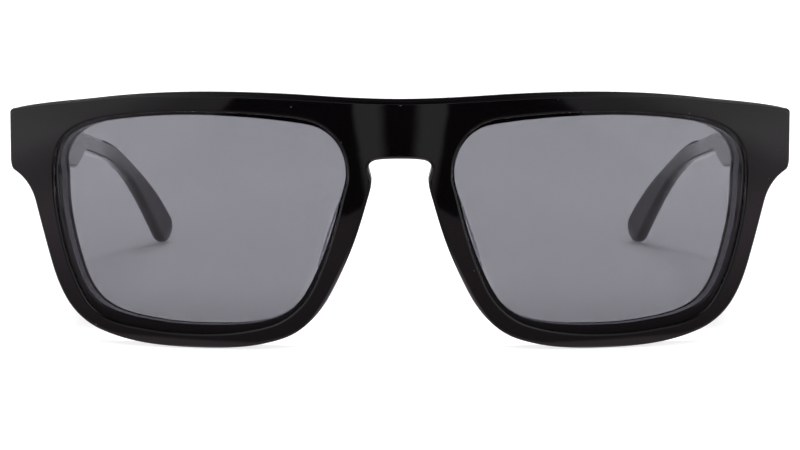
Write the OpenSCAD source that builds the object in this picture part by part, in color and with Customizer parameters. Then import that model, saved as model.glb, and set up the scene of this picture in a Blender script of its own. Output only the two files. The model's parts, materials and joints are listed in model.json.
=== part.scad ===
// Acetate eyeglasses with a full-cover magnetic sun clip, in millimetres.
// X runs across the face, the front looks towards -Y, the temples run back along +Y, and the rims and
// the temple tips stand on Z = 0. "Right" is the +X side.
// Both fronts are drawn flat as [s, z] outlines, with s measured along the sheet from the centre line,
// and bent together round one upright cylinder, as warm acetate is over its former.

/* [Lens and bridge] */
// width of a clip aperture, along the bent sheet
lens_width = 56.2; // [50:0.1:60]
// height of a clip aperture
lens_height = 41.8; // [36:0.1:46]
// gap between the two clip apertures
bridge_width = 19.5; // [17:0.1:24]
// radius that both fronts are bent to
face_curve_radius = 220; // [180:5:400]

/* [Front outline] */
// rim below the lens
lower_rim = 2.65; // [2.2:0.05:4]
// rim above the lens, at the peak of the brow
brow_rim = 2.75; // [2.2:0.05:5]
// sheet left outboard of the lens for the endpiece
endpiece_width = 8.15; // [7.6:0.05:10]
// height of the endpiece's upright side
endpiece_height = 11.2; // [10:0.1:12]
// fall of the brow from its peak to the centre of the bridge
brow_dip = 1.1; // [0:0.05:3]
// fall of the brow from its peak to the endpiece corner
brow_sweep = 3.55; // [2.5:0.05:5]
// height of the bridge bar on the centre line
bridge_height = 10.6; // [8:0.1:12]
// half width of the keyhole under the bridge
keyhole_half_width = 5.75; // [4.5:0.05:6.5]
// how far the optical front swells past the clip beside the nose
nose_swell = 0.5; // [0:0.05:1]

/* [Fronts] */
// thickness of the clip's sheet
clip_thickness = 2.4; // [2.1:0.05:3]
// thickness of the optical front's sheet
front_thickness = 4.2; // [3.8:0.05:5]
// air between the clip and the optical front
clip_gap = 0.3; // [0.25:0.05:0.6]
// rounding along the outer edges
edge_round = 0.55; // [0.3:0.05:0.8]
// bevel along the aperture edges
aperture_bevel = 0.3; // [0.15:0.05:0.4]
// height of both fronts' lowest edge above the table for the clip
clip_lift = 0.2; // [0.1:0.05:0.6]

/* [Lenses] */
// thickness of a tinted clip lens
clip_lens_thickness = 1.1; // [0.8:0.05:1.3]
// thickness of a clear lens
optical_lens_thickness = 1.8; // [1.2:0.05:2.2]
// depth of the groove that holds a lens
groove_depth = 0.8; // [0.5:0.05:1]
// clearance between a lens and its groove
lens_clearance = 0.05; // [0.02:0.01:0.1]
// step from the clip aperture to the optical one, at the top
top_inset = 1.85; // [0.5:0.05:2.2]
// the same step at the bottom
bottom_inset = 0.8; // [0.3:0.05:2]
// the same step at the endpiece
outer_inset = 0.6; // [0:0.05:1]
// the same step beside the nose
nasal_inset = 0; // [0:0.05:0.6]

/* [Magnets] */
// diameter of an endpiece magnet
end_magnet_diameter = 3; // [2:0.1:3.4]
// diameter of a bridge magnet
bridge_magnet_diameter = 2.5; // [2:0.1:3.2]
// thickness of every magnet
magnet_thickness = 1; // [0.8:0.05:1.2]
// distance from the centre line to a bridge magnet
bridge_magnet_s = 4.2; // [3:0.1:5]
// radial clearance of a magnet in its pocket
magnet_clearance = 0.05; // [0.02:0.01:0.1]

/* [Nose pads] */
// how far a nose pad reaches back from the front
pad_reach = 7.2; // [4:0.1:9]
// height of a nose pad
pad_height = 16; // [12:0.5:17]
// height of the pad's foot above the table
pad_foot_z = 14; // [12:0.5:15]
// thickness of the pad at its root
pad_root = 3; // [2.4:0.1:3.2]
// thickness of the pad at its free edge
pad_tip = 2.2; // [1.6:0.1:2.8]
// outward lean of the pad from root to free edge
pad_flare = 1.8; // [1:0.1:3]
// depth of the flat milled for the pad
pad_seat_depth = 0.5; // [0.3:0.05:1]

/* [Temples] */
// length of a temple along its curve, from the hinge pin
temple_length = 138.5; // [130:0.5:145]
// straight part, from the hinge pin to the start of the bend
temple_straight = 89; // [84:1:96]
// downward slope of the straight part
temple_slope = 9.5; // [7:0.5:12]
// extra droop of the tip behind the ear
tip_drop = 37; // [28:1:40]
// radius of the bend over the ear
ear_bend_radius = 68; // [50:1:78]
// inward lean of the straight part
temple_toe_in = 3; // [0:0.1:4]
// inward lean at the very end of the tip
tip_toe_in = 26; // [10:1:30]
// hinge pin to the start of that extra lean
lean_start = 80; // [70:1:90]
// thickness of a temple at the hinge
temple_thickness = 3.9; // [3.5:0.05:4.4]
// thickness of a temple at the bend
temple_waist = 2.7; // [2.5:0.05:3.8]
// distance from the temple's spine up to its upper edge
spine_to_top = 1.95; // [1.8:0.05:2.4]
// height of the brow's peak above the temple's spine at the hinge pin
spine_below_brow = 7.2; // [6:0.1:9]
// height of a temple at the hinge
temple_hinge_height = 9.7; // [9:0.1:10.5]
// height of a temple just ahead of its step
temple_shoulder_height = 8.3; // [6.5:0.1:9]
// hinge pin to the step under the temple
shoulder_at = 42; // [30:1:48]
// length of that step
shoulder_length = 20; // [12:1:26]
// height of a temple halfway along
temple_mid_height = 4; // [3.6:0.1:6]
// height of the paddle at the tip
tip_height = 6.8; // [5.4:0.1:8]
// rounding along the temple's edges
temple_round = 1.15; // [0.5:0.05:1.2]
// gap between a temple's end and the back of the front
mitre_gap = 0.35; // [0.3:0.05:0.6]

/* [Core wires] */
// height of the flat core wire
core_height = 2; // [1.4:0.1:2.4]
// thickness of the flat core wire
core_thickness = 1; // [0.8:0.1:1.3]
// start of the core wire, behind the hinge pin
core_start = 12; // [11:0.5:16]
// acetate beyond the wire's far end
core_end_cover = 9; // [7:0.5:14]

/* [Hinges] */
// radius of the hinge barrel
barrel_radius = 1.4; // [1.25:0.05:1.6]
// height of one knuckle
knuckle_height = 1.15; // [1:0.05:1.15]
// gap between two knuckles
knuckle_gap = 0.15; // [0.1:0.01:0.2]
// gap between the barrel and either leaf
barrel_gap = 0.4; // [0.3:0.05:0.6]
// radius of the hinge pin
pin_radius = 0.6; // [0.5:0.05:0.7]
// running clearance round the hinge pin
pin_clearance = 0.05; // [0.02:0.01:0.1]
// thickness of both hinge leaves
leaf_thickness = 1; // [0.8:0.05:1.1]
// length of the leaf let into the front
front_leaf_length = 6.2; // [5:0.1:6.4]
// length of the leaf let into the temple
temple_leaf_length = 9; // [7.5:0.1:10]
// height of both leaves
leaf_height = 6.4; // [6.4:0.1:6.8]
// diameter of the rivet studs under a leaf
stud_diameter = 1.3; // [1:0.05:1.5]
// length of the rivet studs under a leaf
stud_length = 1.1; // [0.7:0.05:1.3]
// height of the screw head
screw_head_height = 0.55; // [0.4:0.05:0.7]
// radius of the screw head
screw_head_radius = 1.15; // [0.9:0.05:1.2]
// clearance round a leaf or a stud in the acetate
leaf_clearance = 0.05; // [0.02:0.01:0.1]

/* [Hidden] */
$fn = 40;

acetate = [0.05, 0.05, 0.055];
steel = [0.72, 0.72, 0.74];
magnet_metal = [0.6, 0.6, 0.62];
tint = [0.3, 0.3, 0.33, 0.75];
clear = [0.85, 0.88, 0.9, 0.35];

// Depths below the clip's face.
front_face = clip_thickness + clip_gap;
front_back = front_face + front_thickness;

// Widths and heights of the flat outlines.
aperture_nasal = bridge_width / 2;
aperture_outer = aperture_nasal + lens_width;
front_end = aperture_outer + endpiece_width;
aperture_bottom = clip_lift + lower_rim;
aperture_top = aperture_bottom + lens_height;
brow_top = aperture_top + brow_rim;
end_corner_z = brow_top - brow_sweep;
end_foot_z = end_corner_z - endpiece_height;
bridge_top = brow_top - brow_dip;
bridge_foot = bridge_top - bridge_height;
spine_z = brow_top - spine_below_brow;

// The aperture as [share of the width, share of the height, heading], clockwise from beside the nose.
lens_knots = [
    [0, 0.72, 90], [0.15, 0.963, 10], [0.46, 1, 0], [0.76, 0.972, -9], [0.99, 0.785, -75],
    [1, 0.69, -90], [0.974, 0.433, -104], [0.932, 0.257, -111], [0.84, 0.09, -151],
    [0.65, 0.012, -171], [0.47, 0, 180], [0.27, 0.044, 160], [0.155, 0.155, 123],
    [0.103, 0.306, 113], [0.015, 0.606, 107], [0, 0.72, 90]
];

// Half of an outer outline as [s, z, heading, points up to the next knot], clockwise from the top of the
// bridge round to its underside. Swell is how far it stands past the clip beside the nose.
function outline_knots(swell, foot) = [
    [0, bridge_top, 0, 4],
    [lens_width * 0.3, brow_top - brow_dip * 0.45, 3.2, 3],
    [lens_width * 0.6, brow_top, 0, 4],
    [aperture_outer - 8, brow_top - brow_sweep * 0.41, -7.5, 4],
    [front_end - 0.75, end_corner_z, -12, 2],
    [front_end, end_corner_z - 0.85, -90, 2],
    [front_end, end_foot_z + 1.9, -90, 1],
    [front_end - 0.25, end_foot_z + 0.25, -108, 1],
    [front_end - 1, end_foot_z - 0.57, -149, 3],
    [front_end - 4.95, end_foot_z - 6, -105, 3],
    [front_end - 8, aperture_bottom + 12.75, -106.5, 4],
    [front_end - 11.15, aperture_bottom + 5.45, -123, 4],
    [front_end - 17.55, aperture_bottom + 0.17, -158, 4],
    [aperture_nasal + lens_width * 0.48, foot, 180, 4],
    [aperture_nasal + lens_width * 0.285, foot + 0.88, 168, 4],
    [aperture_nasal + 8.55, foot + 3.8, 143, 4],
    [aperture_nasal + 3.05, foot + 10.5, 118, 3],
    [aperture_nasal - 0.27 - swell * 0.8, aperture_bottom + 16.1, 111.5, 2],
    [keyhole_half_width + 0.78 - swell, bridge_foot - 7.9, 107, 2],
    [keyhole_half_width - swell * 1.08, bridge_foot - 4.1, 90, 2],
    [keyhole_half_width, bridge_foot - 1.5, 90, 3],
    [keyhole_half_width - 1.6, bridge_foot - 0.2, 172, 2],
    [0, bridge_foot, 180, 0]
];
centre_points = 5;

// Cubic curve between two knots whose handles make a circular arc where the headings allow one.
function turn(a, b) = ((b - a) % 360 + 540) % 360 - 180;
function step_from(p, heading, d) = p + d * [cos(heading), sin(heading)];
function cubic(p, q, r, t, f) =
    p * pow(1 - f, 3) + q * 3 * f * pow(1 - f, 2) + r * 3 * f * f * (1 - f) + t * pow(f, 3);
function span(a, b, n) =
    let (p = [a[0], a[1]], t = [b[0], b[1]])
    let (reach = norm(t - p) * 2 / 3 / (1 + cos(turn(a[2], b[2]) / 2)))
    let (q = step_from(p, a[2], reach), r = step_from(t, b[2], -reach))
    [for (i = [0:n - 1]) cubic(p, q, r, t, i / n)];
function outline(swell, foot) =
    let (k = outline_knots(swell, foot), last = len(k) - 1)
    [for (i = [0:last - 1]) each span(k[i], k[i + 1], k[i][3]), [k[last][0], k[last][1]]];

clip_outline = outline(0, clip_lift);
front_outline = outline(nose_swell, 0);
edge_count = len(clip_outline);
ring_count = edge_count + centre_points;

// A closed ring of half a front: its outer edge, then the centre line up to the top again.
function with_centre(edge) =
    let (foot = edge[edge_count - 1], top = edge[0])
    [each edge, for (i = [1:centre_points]) foot + (top - foot) * i / (centre_points + 1)];

// Both aperture loops: the optical one is the clip's, drawn in by the four insets.
clip_loop = [
    for (i = [0:len(lens_knots) - 2]) each
        [for (p = span([lens_knots[i][0] * lens_width, lens_knots[i][1] * lens_height, lens_knots[i][2]],
                       [lens_knots[i + 1][0] * lens_width, lens_knots[i + 1][1] * lens_height,
                        lens_knots[i + 1][2]], 8))
            p + [aperture_nasal, aperture_bottom]]
];
optical_loop = [
    for (p = clip_loop)
        [aperture_nasal + nasal_inset
            + (p[0] - aperture_nasal) * (lens_width - nasal_inset - outer_inset) / lens_width,
         aperture_bottom + bottom_inset
            + (p[1] - aperture_bottom) * (lens_height - top_inset - bottom_inset) / lens_height]
];

// Where rays from inside the lens to every point of a front's edge leave its aperture.
ray_centre = [aperture_nasal + lens_width * 0.5, aperture_bottom + lens_height * 0.86];
function ray_hit(loop, aim) =
    [for (i = [0:len(loop) - 1])
        let (a = loop[i] - ray_centre, b = loop[(i + 1) % len(loop)] - ray_centre)
        let (ca = cross(aim, a), cb = cross(aim, b))
        if (ca >= 0 && cb < 0 && a * aim > 0) ray_centre + a + (b - a) * ca / (ca - cb)][0];
clip_aperture = [for (p = with_centre(clip_outline)) ray_hit(clip_loop, p - ray_centre)];
optical_aperture = [for (p = with_centre(front_outline)) ray_hit(optical_loop, p - ray_centre)];

// Outward unit normals of a clockwise loop, and the loop moved along them.
function unit(v) = v / norm(v);
function left_of(v) = [-v[1], v[0]];
function moved(loop, d) =
    let (n = len(loop))
    [for (i = [0:n - 1])
        let (a = unit(loop[i] - loop[(i + n - 1) % n]), b = unit(loop[(i + 1) % n] - loop[i]))
        let (m = left_of(unit(a + b)))
        loop[i] + m * d / max(0.5, m * left_of(a))];
// The same for the open outer edge, whose two ends stay on the centre line.
function edge_moved(edge, d) =
    let (n = len(edge))
    [for (i = [0:n - 1])
        i == 0 ? edge[0] + [0, d] :
        i == n - 1 ? edge[i] - [0, d] :
        let (a = unit(edge[i] - edge[i - 1]), b = unit(edge[i + 1] - edge[i]))
        let (m = left_of(unit(a + b)))
        edge[i] + m * d / max(0.5, m * left_of(a))];

// Flat [s, z] at a depth, bent round the upright cylinder to [x, y, z].
function bend_angle(s) = s / face_curve_radius * 180 / PI;
function bent(p, depth) = [
    (face_curve_radius - depth) * sin(bend_angle(p[0])),
    face_curve_radius - (face_curve_radius - depth) * cos(bend_angle(p[0])),
    p[1]
];
function bent_all(loop, depth) = [for (p = loop) bent(p, depth)];
function midway(a, b) = [for (i = [0:len(a) - 1]) (a[i] + b[i]) / 2];

// One whole front, drawn as rings of points round the section of its right half.
// Rings 2 to 7 follow the outer edge and share their centre-line points with the mirrored half.
module front_sheet(edge, aperture, near, far, lens_near, lens_far) {
    corner = edge_round * (1 - sin(45));
    outer = [for (d = [edge_round, corner, 0]) with_centre(edge_moved(edge, -d))];
    rim = moved(aperture, aperture_bevel);
    groove = moved(aperture, groove_depth);
    half = [
        bent_all(rim, near), bent_all(midway(rim, outer[0]), near), bent_all(outer[0], near),
        bent_all(outer[1], near + corner), bent_all(outer[2], near + edge_round),
        bent_all(outer[2], far - edge_round), bent_all(outer[1], far - corner),
        bent_all(outer[0], far), bent_all(midway(rim, outer[0]), far), bent_all(rim, far),
        bent_all(aperture, far - aperture_bevel), bent_all(aperture, lens_far),
        bent_all(groove, lens_far), bent_all(groove, lens_near), bent_all(aperture, lens_near),
        bent_all(aperture, near + aperture_bevel)
    ];
    rings = len(half);
    points = [for (side = [1, -1]) for (ring = half) for (p = ring) [side * p[0], p[1], p[2]]];
    function on_centre(ring, i) = ring >= 2 && ring <= 7 && (i == 0 || i >= edge_count - 1);
    function index(side, ring, i) =
        (side == 1 && on_centre(ring, i) ? 0 : side * rings * ring_count) + ring * ring_count + i;
    function quad(side, a, b, i, j) =
        let (p = index(side, a, i), q = index(side, b, i), r = index(side, b, j), t = index(side, a, j))
        side == 0 ? [[p, q, r], [p, r, t]] : [[p, r, q], [p, t, r]];
    faces = [
        for (side = [0, 1]) for (ring = [0:rings - 1]) for (i = [0:ring_count - 1])
            if (!(ring >= 2 && ring <= 6 && i >= edge_count - 1))
                each quad(side, ring, (ring + 1) % rings, i, (i + 1) % ring_count)
    ];
    polyhedron(points, faces, convexity = 6);
}

// A lens between two depths whose edge stands out from the aperture into the groove.
module lens(aperture, near, far) {
    edge = moved(aperture, groove_depth - lens_clearance);
    hub = ray_centre;
    inner = [for (p = edge) hub + (p - hub) * 0.5];
    n = ring_count;
    points = [
        bent(hub, near), each bent_all(inner, near), each bent_all(edge, near),
        each bent_all(edge, far), each bent_all(inner, far), bent(hub, far)
    ];
    faces = [
        for (i = [0:n - 1]) let (j = (i + 1) % n) each [
            [0, 1 + i, 1 + j],
            for (k = [0:2]) each [
                [1 + k * n + i, 1 + (k + 1) * n + i, 1 + (k + 1) * n + j],
                [1 + k * n + i, 1 + (k + 1) * n + j, 1 + k * n + j]
            ],
            [1 + 4 * n, 1 + 3 * n + j, 1 + 3 * n + i]
        ]
    ];
    polyhedron(points, faces, convexity = 2);
}

// Places children on the bent sheet with +Y going into it.
module on_sheet(s, z, depth) {
    translate(bent([s, z], depth))
        rotate([0, 0, bend_angle(s)])
            children();
}
// A disc lying in the sheet, from its own depth towards the back.
module sheet_disc(diameter, thickness) {
    rotate([-90, 0, 0])
        cylinder(d = diameter, h = thickness);
}

// Magnets: [s, z] places of the two kinds on the right half.
end_magnet_place = [front_end - 4.1, (end_corner_z + end_foot_z) / 2 + 0.6];
bridge_magnet_place = [bridge_magnet_s, (bridge_top + bridge_foot) / 2 + 0.4];
module magnets(place, diameter, depth, clearance = 0) {
    for (side = [-1, 1])
        on_sheet(side * place[0], place[1], depth)
            sheet_disc(diameter + 2 * clearance, magnet_thickness);
}
// Pockets for both kinds, open at one face of a front.
module magnet_pockets(depth, open_by) {
    for (kind = [[end_magnet_place, end_magnet_diameter], [bridge_magnet_place, bridge_magnet_diameter]])
        for (side = [-1, 1])
            on_sheet(side * kind[0][0], kind[0][1], depth + min(0, open_by))
                rotate([-90, 0, 0])
                    cylinder(d = kind[1] + 2 * magnet_clearance, h = magnet_thickness + abs(open_by));
}

// Hinge line: an upright axis behind the front, inboard of the temple.
hinge_offset = barrel_radius + barrel_gap;
axis_depth = front_back + hinge_offset;
back_end_x = bent([front_end, 0], front_back)[0];
axis_x = back_end_x - temple_thickness - hinge_offset;
axis_angle = asin(axis_x / (face_curve_radius - axis_depth));
axis_y = face_curve_radius - (face_curve_radius - axis_depth) * cos(axis_angle);
barrel_height = 5 * knuckle_height + 4 * knuckle_gap;
hinge_z = spine_z + spine_to_top - temple_hinge_height / 2 + 0.3;
barrel_foot = hinge_z - barrel_height / 2;

module on_axis(heading) {
    translate([axis_x, axis_y, 0])
        rotate([0, 0, heading])
            children();
}
// Knuckles at the given levels, each with a neck reaching to its leaf.
module knuckles(levels, neck_from, neck_size) {
    difference() {
        for (level = levels)
            translate([0, 0, barrel_foot + level * (knuckle_height + knuckle_gap)]) {
                cylinder(r = barrel_radius, h = knuckle_height);
                translate([neck_from[0], neck_from[1], 0])
                    cube([neck_size[0], neck_size[1], knuckle_height]);
            }
        translate([0, 0, barrel_foot - 1])
            cylinder(r = pin_radius + pin_clearance, h = barrel_height + 2);
    }
}

// Front leaf, in the axis frame: X outboard along the sheet, Y backwards out of it.
front_leaf_inboard = 1.2;
front_stud_x = [0.6, front_leaf_length - front_leaf_inboard - 1.6];
module front_leaf(clearance, extra) {
    translate([-front_leaf_inboard - clearance, -hinge_offset - leaf_thickness,
               hinge_z - leaf_height / 2 - clearance])
        cube([front_leaf_length + 2 * clearance, leaf_thickness + extra, leaf_height + 2 * clearance]);
    for (x = front_stud_x)
        for (z = [-1, 1] * leaf_height / 4)
            translate([x, -hinge_offset - leaf_thickness + 0.2, hinge_z + z])
                rotate([90, 0, 0])
                    cylinder(d = stud_diameter + 2 * clearance, h = stud_length + 0.2, $fn = 20);
}

// Temple leaf, in the temple frame: X outboard, Y along the temple. It lies in the inner face and
// follows the temple's slope.
temple_leaf_start = -0.5;
temple_stud_y = [2.2, temple_leaf_length - 2.2];
module temple_leaf(clearance, extra) {
    translate([hinge_offset, 0, hinge_z])
        rotate([-temple_slope, 0, 0]) {
            translate([-extra, temple_leaf_start - clearance, -leaf_height / 2 - clearance])
                cube([leaf_thickness + extra, temple_leaf_length + 2 * clearance,
                      leaf_height + 2 * clearance]);
            for (y = temple_stud_y)
                translate([leaf_thickness - 0.2, temple_leaf_start + y, 0])
                    rotate([0, 90, 0])
                        cylinder(d = stud_diameter + 2 * clearance, h = stud_length + 0.2, $fn = 20);
        }
}

// Slotted hinge screw, head up, resting on the top knuckle.
slot_width = 0.3;
module screw() {
    difference() {
        union() {
            translate([0, 0, barrel_foot])
                cylinder(r = pin_radius, h = barrel_height + 0.1);
            translate([0, 0, barrel_foot + barrel_height])
                cylinder(r = screw_head_radius, h = screw_head_height);
        }
        translate([-screw_head_radius - 1, -slot_width / 2,
                   barrel_foot + barrel_height + screw_head_height / 2])
            cube([2 * screw_head_radius + 2, slot_width, 1]);
    }
}

// Temple path: a spine that runs straight back, then bends down and inwards behind the ear.
bend_length = ear_bend_radius * tip_drop * PI / 180;
function ease(f) = let (c = min(1, max(0, f))) c * c * (3 - 2 * c);
function droop(l) = temple_slope + tip_drop * min(1, max(0, (l - temple_straight) / bend_length));
function lean(l) =
    (tip_toe_in - temple_toe_in) * max(0, (l - lean_start) / (temple_length - lean_start));
function ahead(l) = [-sin(lean(l)) * cos(droop(l)), cos(lean(l)) * cos(droop(l)), -sin(droop(l))];
path_step = 1;
path_start = [hinge_offset + temple_thickness / 2, 0, spine_z];
path = [
    for (i = 0, p = path_start; i <= ceil(temple_length / path_step) + 1;
         i = i + 1, p = p + ahead((i - 0.5) * path_step) * path_step) p
];
function spine(l) =
    l <= 0 ? path_start + ahead(0) * l :
    let (i = floor(l / path_step)) path[i] + (path[i + 1] - path[i]) * (l / path_step - i);
function section_frame(l) =
    let (across = [cos(lean(l)), sin(lean(l)), 0])
    [spine(l), across, cross(across, ahead(l))];

// Half thickness, reach above and reach below the spine at a station.
paddle_radius = tip_height / 2;
function end_share(l) =
    let (f = max(0, (l - temple_length + paddle_radius) / paddle_radius)) sqrt(max(0, 1 - f * f));
function half_thickness(l) =
    (temple_thickness + (temple_waist - temple_thickness) * ease((l - 14) / (temple_straight - 14))) / 2
        * (0.45 + 0.55 * end_share(l));
function paddle_share(l) = ease((l - temple_straight - 18) / (temple_length - temple_straight - 22));
function reach_up(l) = (spine_to_top + (paddle_radius - spine_to_top) * paddle_share(l)) * end_share(l);
function reach_down(l) =
    let (taper = min(1, max(0, l / shoulder_at)), step = ease((l - shoulder_at) / shoulder_length))
    let (ahead = temple_hinge_height + (temple_shoulder_height - temple_hinge_height) * taper)
    let (body = ahead + (temple_mid_height - ahead) * step - spine_to_top)
    (body + (paddle_radius - body) * paddle_share(l)) * end_share(l);

// A rounded rectangle in the plane of a station, anticlockwise seen from the front.
function section(l, half, up, down, round_by) =
    let (f = section_frame(l), r = min(round_by, half * 0.9, up * 0.9, down * 0.9))
    [for (quarter = [0:3]) for (a = [0, 45, 90])
        let (angle = quarter * 90 + a)
        let (x = (quarter == 0 || quarter == 3 ? half - r : r - half) + r * cos(angle))
        let (z = (quarter < 2 ? up - r : r - down) + r * sin(angle))
        f[0] + f[1] * x + f[2] * z];
temple_stations = [
    6, 14, 24, each [for (f = [0:0.125:1.01]) shoulder_at + f * shoulder_length],
    each [for (f = [0.34, 0.67, 1])
        shoulder_at + shoulder_length + f * (temple_straight - shoulder_at - shoulder_length)],
    each [for (f = [0.1:0.1:1.01]) temple_straight + f * (temple_length - paddle_radius - temple_straight)],
    each [for (a = [20, 40, 55, 68, 79]) temple_length - paddle_radius * (1 - sin(a))]
];
function temple_section(l) =
    section(l, half_thickness(l), reach_up(l), reach_down(l), temple_round);
// The end face is cut parallel to the back of the front, a gap away from it.
mitre = axis_angle - temple_toe_in;
function mitred(p) = [p[0], (p[0] * sin(mitre) + mitre_gap - hinge_offset) / cos(mitre), 0];
function temple_butt() = [
    for (p = temple_section(0))
        let (y = mitred(p)[1])
        [p[0], y, p[2] - (y - p[1]) * tan(temple_slope)]
];

// Joins sections into a closed solid.
module skinned(sections) {
    n = len(sections[0]);
    last = len(sections) - 1;
    points = [for (ring = sections) each ring];
    faces = [
        for (k = [0:last - 1]) for (i = [0:n - 1]) let (j = (i + 1) % n) each [
            [k * n + i, (k + 1) * n + j, (k + 1) * n + i], [k * n + i, k * n + j, (k + 1) * n + j]
        ],
        [for (i = [n - 1:-1:0]) i],
        [for (i = [0:n - 1]) last * n + i]
    ];
    polyhedron(points, faces, convexity = 4);
}
core_end = temple_length - core_end_cover;
core_bar = [
    for (l = [core_start, each [for (f = [0:0.1:1.01]) temple_straight + f * (core_end - temple_straight)]])
        section(l, core_thickness / 2, core_height / 2, core_height / 2, 0.3)
];

// Nose pads: a fin on the back of the front, leaning outwards as it goes back. Its root is straight
// between five levels, so the flat that is milled for it in the front has plain walls.
nasal_table = [for (i = [edge_count - 18:edge_count - 5]) [front_outline[i][1], front_outline[i][0]]];
pad_seat_y = bent([keyhole_half_width, 0], front_back)[1] - pad_seat_depth;
pad_levels = 13;
function pad_z(f) = pad_foot_z + pad_height * f;
function pad_swell(f) = sqrt(max(0, 1 - pow(2 * f - 1, 2)));
root_levels = [0:0.25:1];
root_table = [for (f = root_levels) [pad_z(f), lookup(pad_z(f), nasal_table) + edge_round + 0.2]];
width_table = [for (f = root_levels) [pad_z(f), pad_root * (0.65 + 0.35 * pad_swell(f))]];
function pad_ring(f) =
    let (z = pad_z(f), swell = pad_swell(f))
    let (root = lookup(z, root_table), width = lookup(z, width_table))
    let (reach = 1.2 + (pad_reach - 1.2) * swell)
    let (shift = pad_flare * reach / pad_reach, tip = pad_tip * (0.5 + 0.5 * swell))
    let (back = pad_seat_y + pad_seat_depth + reach - tip / 2)
    let (middle = root + shift + width / 2 + 0.2)
    [
        [root, pad_seat_y, z],
        [root, pad_seat_y + 1.1, z],
        for (a = [180:-30:0]) [middle + tip / 2 * cos(a), back + tip / 2 * sin(a), z],
        [root + width, pad_seat_y + 1.1, z],
        [root + width, pad_seat_y, z]
    ];
module pad_fin() {
    skinned([for (i = [0:pad_levels - 1]) pad_ring(i / (pad_levels - 1))]);
}
module pad_seat() {
    skinned([
        for (f = root_levels)
            let (z = pad_z(f), root = lookup(z, root_table), width = lookup(z, width_table))
            [[root, pad_seat_y, z], [root, pad_seat_y + 3, z],
             [root + width, pad_seat_y + 3, z], [root + width, pad_seat_y, z]]
    ]);
}

// Everything is moved so that the origin is at the middle of the depth, on the table.
function to_depth(p) = axis_y + p[0] * sin(temple_toe_in) + p[1] * cos(temple_toe_in);
whole_depth = max([for (l = temple_stations) if (l > temple_straight) each
    [for (p = temple_section(l)) to_depth(p)]]);
module centred() {
    translate([0, -whole_depth / 2, 0])
        children();
}
module left_hand() {
    mirror([1, 0, 0])
        children();
}
module both_hands() {
    children();
    left_hand()
        children();
}

optical_lens_near = front_face + (front_thickness - optical_lens_thickness) / 2;
optical_lens_far = optical_lens_near + optical_lens_thickness;
clip_lens_near = (clip_thickness - clip_lens_thickness) / 2;
clip_lens_far = clip_lens_near + clip_lens_thickness;

module optical_front() {
    color(acetate)
        centred()
            difference() {
                front_sheet(front_outline, optical_aperture, front_face, front_back,
                            optical_lens_near - lens_clearance, optical_lens_far + lens_clearance);
                magnet_pockets(front_face, -1);
                both_hands()
                    on_axis(axis_angle)
                        front_leaf(leaf_clearance, 1);
                both_hands()
                    pad_seat();
            }
}
module nose_pad_right() {
    color(acetate)
        centred()
            pad_fin();
}
module nose_pad_left() {
    left_hand()
        nose_pad_right();
}
module optical_lens_right() {
    color(clear)
        centred()
            lens(optical_aperture, optical_lens_near, optical_lens_far);
}
module optical_lens_left() {
    left_hand()
        optical_lens_right();
}
module front_end_magnets() {
    color(magnet_metal)
        centred()
            magnets(end_magnet_place, end_magnet_diameter, front_face);
}
module front_bridge_magnets() {
    color(magnet_metal)
        centred()
            magnets(bridge_magnet_place, bridge_magnet_diameter, front_face);
}
module front_hinge_right() {
    color(steel)
        centred()
            on_axis(axis_angle)
                union() {
                    front_leaf(0, 0);
                    knuckles([0, 2, 4], [-1.1, -hinge_offset - leaf_thickness / 2],
                             [2.2, hinge_offset + leaf_thickness / 2 - barrel_radius * 0.55]);
                }
}
module front_hinge_left() {
    left_hand()
        front_hinge_right();
}
module hinge_screw_right() {
    color(steel)
        centred()
            on_axis(0)
                screw();
}
module hinge_screw_left() {
    left_hand()
        hinge_screw_right();
}
module temple_right() {
    color(acetate)
        centred()
            on_axis(temple_toe_in)
                difference() {
                    skinned([temple_butt(), for (l = temple_stations) temple_section(l)]);
                    skinned(core_bar);
                    temple_leaf(leaf_clearance, 1);
                }
}
module temple_left() {
    left_hand()
        temple_right();
}
module temple_hinge_right() {
    color(steel)
        centred()
            on_axis(temple_toe_in)
                union() {
                    temple_leaf(0, 0);
                    knuckles([1, 3], [barrel_radius * 0.55, -0.1],
                             [hinge_offset + leaf_thickness / 2 - barrel_radius * 0.55, 1.2]);
                }
}
module temple_hinge_left() {
    left_hand()
        temple_hinge_right();
}
module core_wire_right() {
    color(steel)
        centred()
            on_axis(temple_toe_in)
                skinned(core_bar);
}
module core_wire_left() {
    left_hand()
        core_wire_right();
}
module clip_frame() {
    color(acetate)
        centred()
            difference() {
                front_sheet(clip_outline, clip_aperture, 0, clip_thickness,
                            clip_lens_near - lens_clearance, clip_lens_far + lens_clearance);
                magnet_pockets(clip_thickness - magnet_thickness, 1);
            }
}
module clip_lens_right() {
    color(tint)
        centred()
            lens(clip_aperture, clip_lens_near, clip_lens_far);
}
module clip_lens_left() {
    left_hand()
        clip_lens_right();
}
module clip_end_magnets() {
    color(magnet_metal)
        centred()
            magnets(end_magnet_place, end_magnet_diameter, clip_thickness - magnet_thickness);
}
module clip_bridge_magnets() {
    color(magnet_metal)
        centred()
            magnets(bridge_magnet_place, bridge_magnet_diameter, clip_thickness - magnet_thickness);
}

optical_front();
nose_pad_right();
nose_pad_left();
optical_lens_right();
optical_lens_left();
front_end_magnets();
front_bridge_magnets();
front_hinge_right();
front_hinge_left();
hinge_screw_right();
hinge_screw_left();
temple_right();
temple_left();
temple_hinge_right();
temple_hinge_left();
core_wire_right();
core_wire_left();
clip_frame();
clip_lens_right();
clip_lens_left();
clip_end_magnets();
clip_bridge_magnets();
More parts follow.
